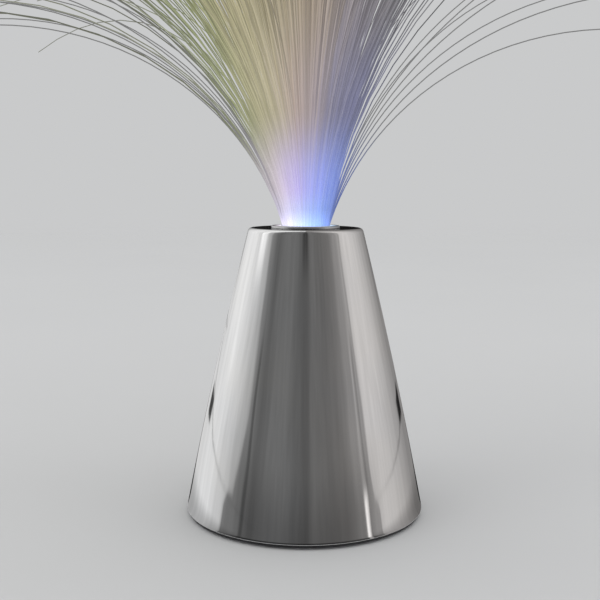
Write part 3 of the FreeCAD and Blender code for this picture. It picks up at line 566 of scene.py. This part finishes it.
def times(tree, first, *others):
    for other in others:
        first = addMath(tree, "MULTIPLY", first, other)
    return first


def addRange(tree, value, fromMin, fromMax, toMin=0.0, toMax=1.0, kind="SMOOTHSTEP"):
    node = addNode(tree, "ShaderNodeMapRange", interpolation_type=kind)
    limits = {"From Min": fromMin, "From Max": fromMax, "To Min": toMin, "To Max": toMax}
    feedAll(tree, node, limits)
    feed(tree, node.inputs["Value"], value)
    return node.outputs["Result"]


def addTurnRange(tree, angle, start, end, toMin=0.0, toMax=1.0, kind="SMOOTHSTEP"):
    # the same over an angle, with start and end in degrees
    return addRange(tree, angle, math.radians(start), math.radians(end), toMin, toMax, kind)


def addMix(tree, share, first, second, kind="RGBA", blend="MIX"):
    node = addNode(tree, "ShaderNodeMix", data_type=kind, blend_type=blend)
    begin, end, out = (6, 7, 2) if kind == "RGBA" else (2, 3, 0)
    feed(tree, node.inputs[0], share)
    feed(tree, node.inputs[begin], first)
    feed(tree, node.inputs[end], second)
    return node.outputs[out]


def addScale(tree, colour, amount):
    node = addNode(tree, "ShaderNodeVectorMath", operation="SCALE")
    feed(tree, node.inputs[0], colour)
    feed(tree, node.inputs["Scale"], amount)
    return node.outputs[0]


def addLength(tree, place):
    node = addNode(tree, "ShaderNodeVectorMath", operation="LENGTH")
    feed(tree, node.inputs[0], place)
    return node.outputs["Value"]


def addPlace(tree):
    return addNode(tree, "ShaderNodeTexCoord").outputs["Object"]


def splitPlace(tree):
    split = addNode(tree, "ShaderNodeSeparateXYZ")
    feed(tree, split.inputs[0], addPlace(tree))
    return split.outputs["X"], split.outputs["Y"], split.outputs["Z"]


def joinPlace(tree, x, y):
    join = addNode(tree, "ShaderNodeCombineXYZ")
    feedAll(tree, join, {"X": x, "Y": y})
    return join.outputs[0]


def addNoise(tree, place, scale, detail, rough=0.5):
    noise = addNode(tree, "ShaderNodeTexNoise")
    feedAll(tree, noise, {"Vector": place, "Scale": scale, "Detail": detail, "Roughness": rough})
    return noise.outputs["Fac"]


def addRamp(tree, share, stops):
    ramp = addNode(tree, "ShaderNodeValToRGB")
    line = ramp.color_ramp
    while len(line.elements) > 1:
        line.elements.remove(line.elements[-1])
    line.elements[0].position = stops[0][0]
    line.elements[0].color = stops[0][1]
    for place, colour in stops[1:]:
        element = line.elements.new(place)
        element.color = colour
    feed(tree, ramp.inputs["Fac"], share)
    return ramp.outputs["Color"]


def addBump(tree, shader, height, strength, distance):
    relief = addNode(tree, "ShaderNodeBump")
    feedAll(tree, relief, {"Height": height, "Strength": strength, "Distance": distance})
    feed(tree, shader.inputs["Normal"], relief.outputs["Normal"])


def beginGroup(name, inputs, outputs):
    group = bpy.data.node_groups.new(name, "ShaderNodeTree")
    for label, kind in inputs.items():
        group.interface.new_socket(name=label, in_out="INPUT", socket_type="NodeSocket" + kind)
    for label, kind in outputs.items():
        group.interface.new_socket(name=label, in_out="OUTPUT", socket_type="NodeSocket" + kind)
    return group, group.nodes.new("NodeGroupInput").outputs, group.nodes.new("NodeGroupOutput")


def newMaterial(name):
    material = bpy.data.materials.new(name)
    material.use_nodes = True
    tree = material.node_tree
    shader = tree.nodes["Principled BSDF"]
    return material, tree, shader


# surface grain, shared by most materials

grainLook = {
    "cloud": 60,
    "cloudDetail": 4,
    "cloudFrom": 0.3,
    "cloudTo": 0.7,
    "grain": 900,
    "grainDetail": 2,
    "bump": 0.15,
    "deep": 0.0002,
    "ior": 1.5,
}


def makeGrainGroup(look):
    # two tones mixed by cloudy noise, with a fine grain for the bump and a wavering gloss
    given = {
        "Vector": "Vector",
        "Cloud Scale": "Float",
        "Grain Scale": "Float",
        "Tone A": "Color",
        "Tone B": "Color",
        "Gloss A": "Float",
        "Gloss B": "Float",
    }
    made = {"Color": "Color", "Roughness": "Float", "Height": "Float"}
    group, start, end = beginGroup("surfaceGrain", given, made)
    cloud = addNoise(group, start["Vector"], start["Cloud Scale"], look["cloudDetail"])
    share = addRange(group, cloud, look["cloudFrom"], look["cloudTo"], kind="LINEAR")
    feedAll(group, end, {
        "Color": addMix(group, share, start["Tone A"], start["Tone B"]),
        "Roughness": addMix(group, share, start["Gloss A"], start["Gloss B"], "FLOAT"),
        "Height": addNoise(group, start["Vector"], start["Grain Scale"], look["grainDetail"]),
    })
    return group


grainGroup = makeGrainGroup(grainLook)


def addGrain(tree, shader, cloud, first, second, gloss):
    group = addNode(tree, "ShaderNodeGroup", node_tree=grainGroup)
    feedAll(tree, group, {
        "Vector": addPlace(tree),
        "Cloud Scale": cloud,
        "Tone A": first,
        "Tone B": second,
        "Gloss A": gloss[0],
        "Gloss B": gloss[1],
    })
    feed(tree, shader.inputs["Base Color"], group.outputs["Color"])
    feed(tree, shader.inputs["Roughness"], group.outputs["Roughness"])
    return group


def grainMaterial(name, first, second, gloss, metal, **changes):
    look = {**grainLook, **changes}
    material, tree, shader = newMaterial(name)
    group = addGrain(tree, shader, look["cloud"], first, second, gloss)
    feed(tree, group.inputs["Grain Scale"], look["grain"])
    addBump(tree, shader, group.outputs["Height"], look["bump"], look["deep"])
    feedAll(tree, shader, {"Metallic": metal, "IOR": look["ior"]})
    return material


# chrome plating on the housing

chromeLook = {
    "darker": (0.86, 0.865, 0.875, 1),
    "lighter": (0.90, 0.895, 0.885, 1),
    "cloud": 34,
    "gloss": (0.045, 0.085),
    "waveRise": 4.0,
    "waveScale": 5.5,
    "waveDetail": 1.5,
    "waveBump": 0.06,
    "waveDeep": 0.0012,
}


def chromeMaterial(name, look):
    # mirror plating: faint upright waves from the moulding under it, and a slightly uneven gloss
    material, tree, shader = newMaterial(name)
    addGrain(tree, shader, look["cloud"], look["darker"], look["lighter"], look["gloss"])
    x, y, height = splitPlace(tree)
    angle = addMath(tree, "ARCTAN2", x, y)
    place = joinPlace(tree, angle, times(tree, height, look["waveRise"]))
    wave = addNoise(tree, place, look["waveScale"], look["waveDetail"])
    addBump(tree, shader, wave, look["waveBump"], look["waveDeep"])
    feed(tree, shader.inputs["Metallic"], 1)
    return material


# satin chrome on the ferrule, with a painted glow on its top

ferruleLook = {
    "darker": (0.50, 0.50, 0.51, 1),
    "lighter": (0.58, 0.58, 0.57, 1),
    "gloss": (0.20, 0.30),
    "cloud": 90,
    "grain": 2600,
    "bump": 0.05,
    "spill": (0.0090, 0.0122, 1.0, 0.05),
    "topFace": (0.1057, 0.1062),
    "across": (-0.012, 0.012),
    "spillLeft": (250, 238, 250),
    "spillRight": (196, 224, 255),
}


def ferruleMaterial(name, look):
    # painted glow: its top is given emission, standing in for the light that spills from the fibre ends
    # beside its bore
    material = grainMaterial(name, look["darker"], look["lighter"], look["gloss"], 1.0,
                             cloud=look["cloud"], grain=look["grain"], bump=look["bump"])
    tree = material.node_tree
    x, y, height = splitPlace(tree)
    # painted glow: emission strongest at the bore and fading outwards, on the top face only, tinted from
    # left to right
    spill = addRange(tree, addLength(tree, joinPlace(tree, x, y)), *look["spill"])
    level = addRange(tree, height, *look["topFace"], kind="LINEAR")
    across = addRange(tree, x, *look["across"], kind="LINEAR")
    tint = addMix(tree, across, tone(*look["spillLeft"]), tone(*look["spillRight"]))
    feedAll(tree, tree.nodes["Principled BSDF"], {
        "Emission Color": addScale(tree, tint, times(tree, spill, level)),
        "Emission Strength": 1,
    })
    return material


# light in the fibres; spans along a strand are shares of its length

fibreLook = {
    "strength": 0.62,
    "roughness": 0.22,
    "ior": 1.49,
    "glowAsBase": 0.42,  # share of the glow's colour painted into the base colour, so part of the glow shows as lit surface colour
    "looseBelow": 0.75,  # strands with less light than this are the loose ones
    "looseTone": (150, 150, 150),
    "tipFrom": 0.99,
    "whiteEnd": (0.0, 0.07, 1.0, 0.0),
    "blaze": (0.0, 0.03, 1.6, 1.15),
    "lowToHigh": (0.05, 0.20),
    "highToFar": (0.18, 0.38),
    "fade": (0.25, 0.8, 1.0, 0.82),
    "contrast": (0.12, 0.40, 0.7, 4.0),
}

# place from left to right, then red, green and blue
fibreTones = {
    "root": [
        (0.0, 206, 200, 220), (0.17, 222, 220, 250), (0.365, 205, 217, 252), (0.56, 180, 205, 253),
        (0.75, 158, 188, 250), (0.92, 132, 156, 222), (1.0, 110, 130, 196),
    ],
    "low": [
        (0.0, 190, 186, 194), (0.12, 214, 205, 214), (0.19, 224, 213, 230), (0.30, 216, 204, 242),
        (0.42, 205, 196, 248), (0.54, 186, 190, 252), (0.70, 170, 183, 254), (0.86, 143, 164, 236),
        (1.0, 116, 132, 196),
    ],
    "high": [
        (0.0, 134, 138, 116), (0.07, 150, 157, 120), (0.20, 183, 179, 146), (0.33, 190, 182, 157),
        (0.455, 190, 174, 166), (0.585, 174, 163, 168), (0.71, 151, 149, 171), (0.84, 130, 131, 162),
        (0.95, 116, 118, 142), (1.0, 108, 110, 124),
    ],
    "far": [
        (0.0, 136, 138, 122), (0.05, 140, 145, 118), (0.13, 150, 157, 116), (0.24, 176, 170, 138),
        (0.395, 172, 163, 135), (0.555, 172, 158, 142), (0.715, 150, 144, 150), (0.875, 120, 119, 124),
        (1.0, 112, 112, 114),
    ],
}


def makeFibreGroup(look):
    # white at the ferrule, one set of colours low down and softer ones further out
    given = {"Side": "Float", "Along": "Float", "Power": "Float"}
    group, start, end = beginGroup("fibreLight", given, {"Base": "Color", "Glow": "Color"})
    along = start["Along"]
    across = addRange(group, start["Side"], -1, 1, kind="LINEAR")
    colours = {}
    for zone, stops in fibreTones.items():
        toned = [(place, tone(red, green, blue)) for place, red, green, blue in stops]
        colours[zone] = addRamp(group, across, toned)
    # loose outer strands carry little light and turn grey away from the ferrule
    loose = addMath(group, "LESS_THAN", start["Power"], look["looseBelow"])
    outer = addMix(group, addRange(group, along, *look["highToFar"]), colours["high"], colours["far"])
    plain = addMix(group, loose, outer, tone(*look["looseTone"]))
    colour = addMix(group, addRange(group, along, *look["lowToHigh"]), colours["low"], plain)
    blaze = addRange(group, along, *look["blaze"], kind="LINEAR")
    strong = addScale(group, colours["root"], blaze)
    whitened = addMix(group, addRange(group, along, *look["whiteEnd"]), colour, strong)
    tip = addMath(group, "GREATER_THAN", along, look["tipFrom"])
    sparked = addMix(group, tip, whitened, (1, 1, 1, 1))
    # neighbours differ more in brightness the further they are from the ferrule
    contrast = addRange(group, along, *look["contrast"], kind="LINEAR")
    power = addMix(group, loose, contrast, 1.0, "FLOAT")
    fade = addRange(group, along, *look["fade"], kind="LINEAR")
    level = times(group, addMath(group, "POWER", start["Power"], power), fade)
    glow = addScale(group, sparked, level)
    # painted glow: the base colour is a share of the glow's colour, not the fibre's own colour
    feedAll(group, end, {"Base": addScale(group, glow, look["glowAsBase"]), "Glow": glow})
    return group


fibreGroup = makeFibreGroup(fibreLook)


def fibreMaterial(name, look):
    material, tree, shader = newMaterial(name)
    group = addNode(tree, "ShaderNodeGroup", node_tree=fibreGroup)
    for label in ("Side", "Along", "Power"):
        reading = addNode(tree, "ShaderNodeAttribute", attribute_name="strand" + label)
        feed(tree, group.inputs[label], reading.outputs["Fac"])
    feedAll(tree, shader, {
        "Base Color": group.outputs["Base"],
        "Emission Color": group.outputs["Glow"],
        "Emission Strength": look["strength"],
        "Roughness": look["roughness"],
        "IOR": look["ior"],
    })
    return material


def paint(piece, material):
    piece.data.materials.clear()
    piece.data.materials.append(material)


def paintNode(name, material):
    node = nodes[name]
    if not node.material_slots:
        node.data.materials.append(material)
    for slot in node.material_slots:
        slot.material = material


paint(shell, chromeMaterial("chromePlate", chromeLook))
paint(ferrule, ferruleMaterial("ferruleChrome", ferruleLook))
fibre = fibreMaterial("opticalFibre", fibreLook)
for bunch in bunches:
    paint(bunch, fibre)

# finishes of the nodes that stay: material, two tones, gloss from and to, metal, and its nodes
nodeFinishes = [
    ("blackPlastic", (32, 32, 34), (46, 46, 49), (0.34, 0.48), 0.0, ["base_plate"]),
    ("doorPlastic", (44, 44, 47), (58, 58, 61), (0.4, 0.52), 0.0, ["battery_door"]),
    ("footRubber", (70, 70, 71), (88, 88, 89), (0.75, 0.9), 0.0, ["rubber_feet"]),
    ("screwZinc", (150, 152, 155), (182, 183, 184), (0.28, 0.42), 1.0, ["base_screws"]),
    ("cellSleeve", (44, 70, 96), (54, 84, 112), (0.3, 0.42), 0.0, ["aa_cells"]),
    ("contactNickel", (176, 172, 162), (200, 197, 190), (0.22, 0.36), 1.0,
     ["contact_positive", "contact_negative", "bridge_contacts"]),
    ("switchCase", (150, 152, 156), (172, 173, 176), (0.3, 0.44), 1.0, ["switch_body"]),
    ("knobPlastic", (150, 152, 155), (170, 171, 173), (0.42, 0.55), 0.0, ["switch_knob"]),
    ("redSleeve", (150, 24, 20), (172, 34, 28), (0.42, 0.55), 0.0, ["lead_red"]),
    ("blackSleeve", (22, 22, 23), (36, 36, 37), (0.42, 0.55), 0.0, ["lead_black"]),
    ("switchSleeve", (190, 30, 24), (160, 24, 20), (0.42, 0.55), 0.0, ["lead_switch"]),
    ("boardGreen", (24, 84, 44), (30, 98, 54), (0.3, 0.42), 0.0, ["led_board"]),
    ("ledEpoxy", (225, 232, 236), (240, 244, 246), (0.1, 0.18), 0.0, ["rgb_leds"]),
    ("chipBlack", (28, 28, 29), (38, 38, 39), (0.5, 0.62), 0.0, ["driver_chip"]),
    ("resistorBody", (196, 168, 118), (210, 184, 138), (0.4, 0.5), 0.0, ["board_resistors"]),
    ("tubePlastic", (205, 205, 200), (222, 222, 218), (0.4, 0.5), 0.0, ["socket_tube"]),
    ("corePotting", (200, 214, 216), (226, 236, 238), (0.2, 0.3), 0.0, ["bundle_core"]),
]
for finish, first, second, gloss, metal, names in nodeFinishes:
    material = grainMaterial(finish, tone(*first), tone(*second), gloss, metal)
    for name in names:
        paintNode(name, material)
print("materials given")


# floor, world and lamps

floorSizes = {
    "inner": 0.5,
    "middle": 1.2,
    "outer": 3.0,
    "corners": 96,
    "window": 0.043,
    "paper": (0.568, 0.573, 0.578),
    "paperShift": 0.01,
    "cloud": 3,
    "gloss": (0.85, 0.95),
    "fade": (0.45, 2.8, 1, 0),
}

skyLook = {
    "level": 1.0,
    "seen": (0.585, 0.59, 0.595, 1),
}


def paperMaterial(name, sizes):
    material, tree, shader = newMaterial(name)
    darker = [part * (1 - sizes["paperShift"]) for part in sizes["paper"]]
    lighter = [part * (1 + sizes["paperShift"]) for part in sizes["paper"]]
    addGrain(tree, shader, sizes["cloud"], (*darker, 1), (*lighter, 1), sizes["gloss"])
    feed(tree, shader.inputs["Specular IOR Level"], 0.0)
    reach = addLength(tree, addPlace(tree))
    fade = addRange(tree, reach, *sizes["fade"])
    # the paper is clear from below, and under the lamp it lets light and reflections through to the base
    below = addNode(tree, "ShaderNodeNewGeometry").outputs["Backfacing"]
    under = addMath(tree, "LESS_THAN", reach, sizes["window"])
    path = addNode(tree, "ShaderNodeLightPath")
    bounced = addMath(tree, "MAXIMUM", path.outputs["Is Diffuse Ray"], path.outputs["Is Glossy Ray"])
    closed = addMath(tree, "SUBTRACT", 1.0, times(tree, under, bounced))
    above = addMath(tree, "SUBTRACT", 1.0, below)
    feed(tree, shader.inputs["Alpha"], times(tree, fade, above, closed))
    return material


def makeFloor(sizes):
    rings = [(sizes["inner"], 0), (sizes["middle"], 0), (sizes["outer"], 0)]
    piece = turnOutline("studioFloor", rings, sizes["corners"])
    pickRing(piece, sizes["inner"], 0)
    bpy.ops.mesh.edge_face_add()
    closeMesh(piece)
    if piece.data.polygons[0].normal.z < 0:
        bpy.ops.object.mode_set(mode="EDIT")
        bpy.ops.mesh.select_all(action="SELECT")
        bpy.ops.mesh.flip_normals()
        bpy.ops.object.mode_set(mode="OBJECT")
    paint(piece, paperMaterial("palePaper", sizes))


def makeWorld(look):
    world = bpy.data.worlds.new("studioSky")
    scene.world = world
    world.use_nodes = True
    tree = world.node_tree
    light = tree.nodes["Background"]
    feedAll(tree, light, {"Color": (1, 1, 1, 1), "Strength": look["level"]})
    seen = addNode(tree, "ShaderNodeBackground")
    feedAll(tree, seen, {"Color": look["seen"], "Strength": 1})
    path = addNode(tree, "ShaderNodeLightPath")
    either = addMath(tree, "MAXIMUM", path.outputs["Is Camera Ray"], path.outputs["Is Glossy Ray"])
    looking = addMath(tree, "MAXIMUM", either, path.outputs["Is Transmission Ray"])
    mix = addNode(tree, "ShaderNodeMixShader")
    feed(tree, mix.inputs[0], looking)
    feed(tree, mix.inputs[1], light.outputs[0])
    feed(tree, mix.inputs[2], seen.outputs[0])
    feed(tree, tree.nodes["World Output"].inputs["Surface"], mix.outputs[0])


# grey and white cards stand round the lamp and show only in its shiny surfaces
# angles are in degrees, 0 straight in front and positive to the right

cardSizes = {
    "wall": 1.9,
    "near": 0.0452,
    "low": 0.0004,
    "high": 4.2,
    "roofNear": 0.02,
    "roofHigh": 4.9,
    "cornerSlack": 0.01,
    "corners": 128,
    "smoothTurn": 60,
}

# direction and grey
cardTones = [
    (-180, 126), (-168, 158), (-154, 212), (-128, 227), (-112, 225), (-101, 210), (-90, 196), (-80, 178),
    (-71, 163), (-67, 120), (-62, 108), (-52, 90), (-38, 104), (-20, 104), (-12, 92), (2, 88),
    (9, 102), (26, 97), (38, 103), (46, 112), (54, 130), (62, 134), (65.5, 150), (69, 138),
    (71.8, 188), (90, 194), (100, 191), (115, 176), (140, 147), (152, 130), (165, 112), (180, 112),
]

# a range is from, to, value before and value after; metres for heights and reaches
cardLook = {
    "mirror": 0.88,  # the chrome's share, so that the greys are those it shows
    "nearTurn": 0.042,
    "whiteEdge": 66,
    "edgeSoft": (-1, 3),
    "flareHigh": (0.0, 0.25, 1, 0),
    "flareClose": (0.25, 1.2, 2.25, 1.0),
    "flareSides": (9, 5),
    "flareMiddle": 0.1,
    "tableMost": 148,
    "streaks": 0.12,
    "streakScale": 9,
    "streakDetail": 3,
    "streakRough": 0.85,
    "streakNoise": (0.3, 0.7),
    "streakRise": 0.2,
    "warm": (1.03, 0.995, 0.98, 1),
    "warmTurn": (-10, 40),
    "dipTurn": (60, 85, 0.34, 0.10),
    "dipHigh": (0.0, 0.25, -1, 0),
    "footTurn": (60, 85, 0.66, 0.44),
    "footReach": (0.05, 0.11, -1, 0),
    "gapTurn": (173, 177, 0, -0.95),
    "gapHigh": (0.38, 0.60, 1, 0),
    "backNear": (0.20, 0.23, 0, 1),
    "backFar": (0.34, 0.38, 1, 0),
    "backFrom": (136, 142, 0, -0.92),
    "backTo": (153, 159, 1, 0),
    "edgeWide": (0.006, 0.034),
}

# upright marks: direction, half width of the core and of the whole, from and to in height, change there
uprightMarks = [
    (-62, 0.75, 3.0, 0.40, 0.55, -0.42, 0),  # dark seams beside the two white cards
    (65.6, 0.475, 1.9, 0.40, 0.55, -0.34, 0),
    (62, 0.45, 1.8, 0.40, 0.55, 0.34, 0),  # a bright line next to the right one
    (0, 3.8, 6.6, 0.78, 0.98, -0.08, -0.54),  # a dark stand straight ahead, seen mostly high up
    (-89, 4, 9.5, 0.46, 0.68, 0, 0.6),  # a tall lamp to the left
    (63, 1.3, 3.3, 0.02, 0.07, 3.0, 0.04),  # a low narrow strip light to the right
]

# thin dark lines on the table: direction of the normal, distance from the lamp, how dark
tableEdges = [
    (-0.955, 0.296, 0.451, -0.55),
    (0.707, 0.707, 0.341, -0.34),
]


def readSpot(tree, sizes, look):
    # a point's place, its reach from the lamp's axis and its direction
    x, y, height = splitPlace(tree)
    reach = addLength(tree, joinPlace(tree, x, y))
    bearing = addMath(tree, "ARCTAN2", x, times(tree, y, -1.0))
    # close to the housing a reflection meets the card nearer to the front than it points
    twice = times(tree, reach, 2.0)
    less = addMath(tree, "SUBTRACT", twice, look["nearTurn"])
    angle = times(tree, bearing, addMath(tree, "DIVIDE", twice, less))
    return {
        "x": x,
        "y": y,
        "height": height,
        "reach": reach,
        "angle": angle,
        "aside": addMath(tree, "ABSOLUTE", angle),
        "onTable": addMath(tree, "LESS_THAN", reach, sizes["wall"] - sizes["cornerSlack"]),
    }


def addCardTone(tree, spot, sizes, look):
    # low down the two white cards begin further round
    low = addRange(tree, spot["height"], *look["flareHigh"], "LINEAR")
    close = addRange(tree, spot["reach"], *look["flareClose"], "LINEAR")
    left, right = [math.radians(degrees) for degrees in look["flareSides"]]
    wide = addRange(tree, spot["angle"], -look["flareMiddle"], look["flareMiddle"], left, right)
    flare = times(tree, low, close, wide)
    edge = math.radians(look["whiteEdge"])
    inner = addMath(tree, "MINIMUM", spot["aside"], edge)
    past = addMath(tree, "SUBTRACT", spot["aside"], edge)
    gate = addTurnRange(tree, addMath(tree, "SUBTRACT", past, flare), *look["edgeSoft"])
    outer = times(tree, addMath(tree, "MAXIMUM", past, 0.0), gate)
    # on the table nothing lies straight behind the lamp
    tableEnd = sizes["wall"] - sizes["cornerSlack"]
    begin = tableEnd - sizes["cornerSlack"]
    tableMost = math.radians(look["tableMost"])
    most = addRange(tree, spot["reach"], begin, tableEnd, tableMost, math.pi, "LINEAR")
    around = addMath(tree, "MINIMUM", addMath(tree, "ADD", inner, outer), most)
    shown = times(tree, around, addMath(tree, "SIGN", spot["angle"]), 0.5 / math.pi)
    stops = []
    for degrees, grey in cardTones:
        level = linear(grey) / look["mirror"]
        stops.append(((degrees + 180) / 360, (level, level, level, 1)))
    grey = addRamp(tree, addMath(tree, "ADD", shown, 0.5), stops)
    # the cards to the right are a little warmer
    rightward = addTurnRange(tree, spot["angle"], *look["warmTurn"], kind="LINEAR")
    return addMix(tree, rightward, grey, look["warm"], blend="MULTIPLY")


def addStreaks(tree, spot, look):
    place = joinPlace(tree, spot["angle"], times(tree, spot["height"], look["streakRise"]))
    noise = addNoise(tree, place, look["streakScale"], look["streakDetail"], look["streakRough"])
    least, most = 1 - look["streaks"], 1 + look["streaks"]
    return addRange(tree, noise, *look["streakNoise"], least, most, "LINEAR")


def addUpright(tree, spot, mark):
    degrees, core, whole, lower, upper, changeLow, changeHigh = mark
    off = addMath(tree, "ABSOLUTE", addMath(tree, "SUBTRACT", spot["angle"], math.radians(degrees)))
    across = addTurnRange(tree, off, core, whole, 1, 0)
    return times(tree, across, addRange(tree, spot["height"], lower, upper, changeLow, changeHigh))


def addTableEdge(tree, spot, edge, look):
    normalX, normalY, distance, dark = edge
    along = addMath(tree, "ADD", times(tree, spot["x"], normalX), times(tree, spot["y"], normalY))
    off = addMath(tree, "ABSOLUTE", addMath(tree, "SUBTRACT", along, distance))
    return times(tree, addRange(tree, off, *look["edgeWide"], dark, 0.0), spot["onTable"])


def addChanges(tree, spot, look):
    # darker towards the table, most of all in front
    dip = addRange(tree, spot["height"], *look["dipHigh"])
    changes = [times(tree, addTurnRange(tree, spot["aside"], *look["dipTurn"]), dip)]
    foot = addRange(tree, spot["reach"], *look["footReach"])
    depth = addTurnRange(tree, spot["aside"], *look["footTurn"])
    changes.append(times(tree, foot, depth, spot["onTable"]))
    for mark in uprightMarks:
        changes.append(addUpright(tree, spot, mark))
    # behind the lamp: a low dark gap in the cards, and the table's back edge in front of it
    gap = addTurnRange(tree, spot["aside"], *look["gapTurn"])
    changes.append(times(tree, gap, addRange(tree, spot["height"], *look["gapHigh"])))
    begins = addRange(tree, spot["y"], *look["backNear"])
    ends = addRange(tree, spot["y"], *look["backFar"])
    beside = addTurnRange(tree, spot["aside"], *look["backTo"])
    behind = addTurnRange(tree, spot["aside"], *look["backFrom"])
    changes.append(times(tree, begins, ends, beside, behind))
    for edge in tableEdges:
        changes.append(addTableEdge(tree, spot, edge, look))
    return changes


def cardMaterial(name, sizes, look):
    material, tree, shader = newMaterial(name)
    spot = readSpot(tree, sizes, look)
    level = addStreaks(tree, spot, look)
    for change in addChanges(tree, spot, look):
        level = times(tree, level, addMath(tree, "ADD", change, 1.0))
    feedAll(tree, shader, {
        "Base Color": (0, 0, 0, 1),
        "Specular IOR Level": 0,
        "Emission Color": addScale(tree, addCardTone(tree, spot, sizes, look), level),
        "Emission Strength": 1,
    })
    return material


def makeCards(sizes, look):
    outline = [
        (sizes["near"], sizes["low"]),
        (sizes["wall"], sizes["low"]),
        (sizes["wall"], sizes["high"]),
        (sizes["roofNear"], sizes["roofHigh"]),
    ]
    piece = turnOutline("studioCards", outline, sizes["corners"])
    closeMesh(piece, sizes["smoothTurn"])
    piece.visible_camera = False
    piece.visible_diffuse = False
    piece.visible_shadow = False
    piece.visible_transmission = False
    paint(piece, cardMaterial("cardTones", sizes, look))


# name, place, side length and power
softLamps = [
    ("softLeft", (-1.2, -0.7, 1.3), 0.9, 3.2),
    ("softRight", (1.3, -0.4, 1.2), 0.8, 1.6),
]
lampAim = (0, 0, 0.12)


def addLamp(name, place, side, power):
    bpy.ops.object.light_add(type="AREA", location=place)
    lamp = bpy.context.active_object
    lamp.name = name
    lamp.data.shape = "SQUARE"
    lamp.data.size = side
    lamp.data.energy = power
    lamp.visible_glossy = False
    direction = Vector(lampAim) - Vector(place)
    lamp.rotation_euler = direction.to_track_quat("-Z", "Y").to_euler()


makeFloor(floorSizes)
makeWorld(skyLook)
makeCards(cardSizes, cardLook)
for name, place, side, power in softLamps:
    addLamp(name, place, side, power)
print("stage set")
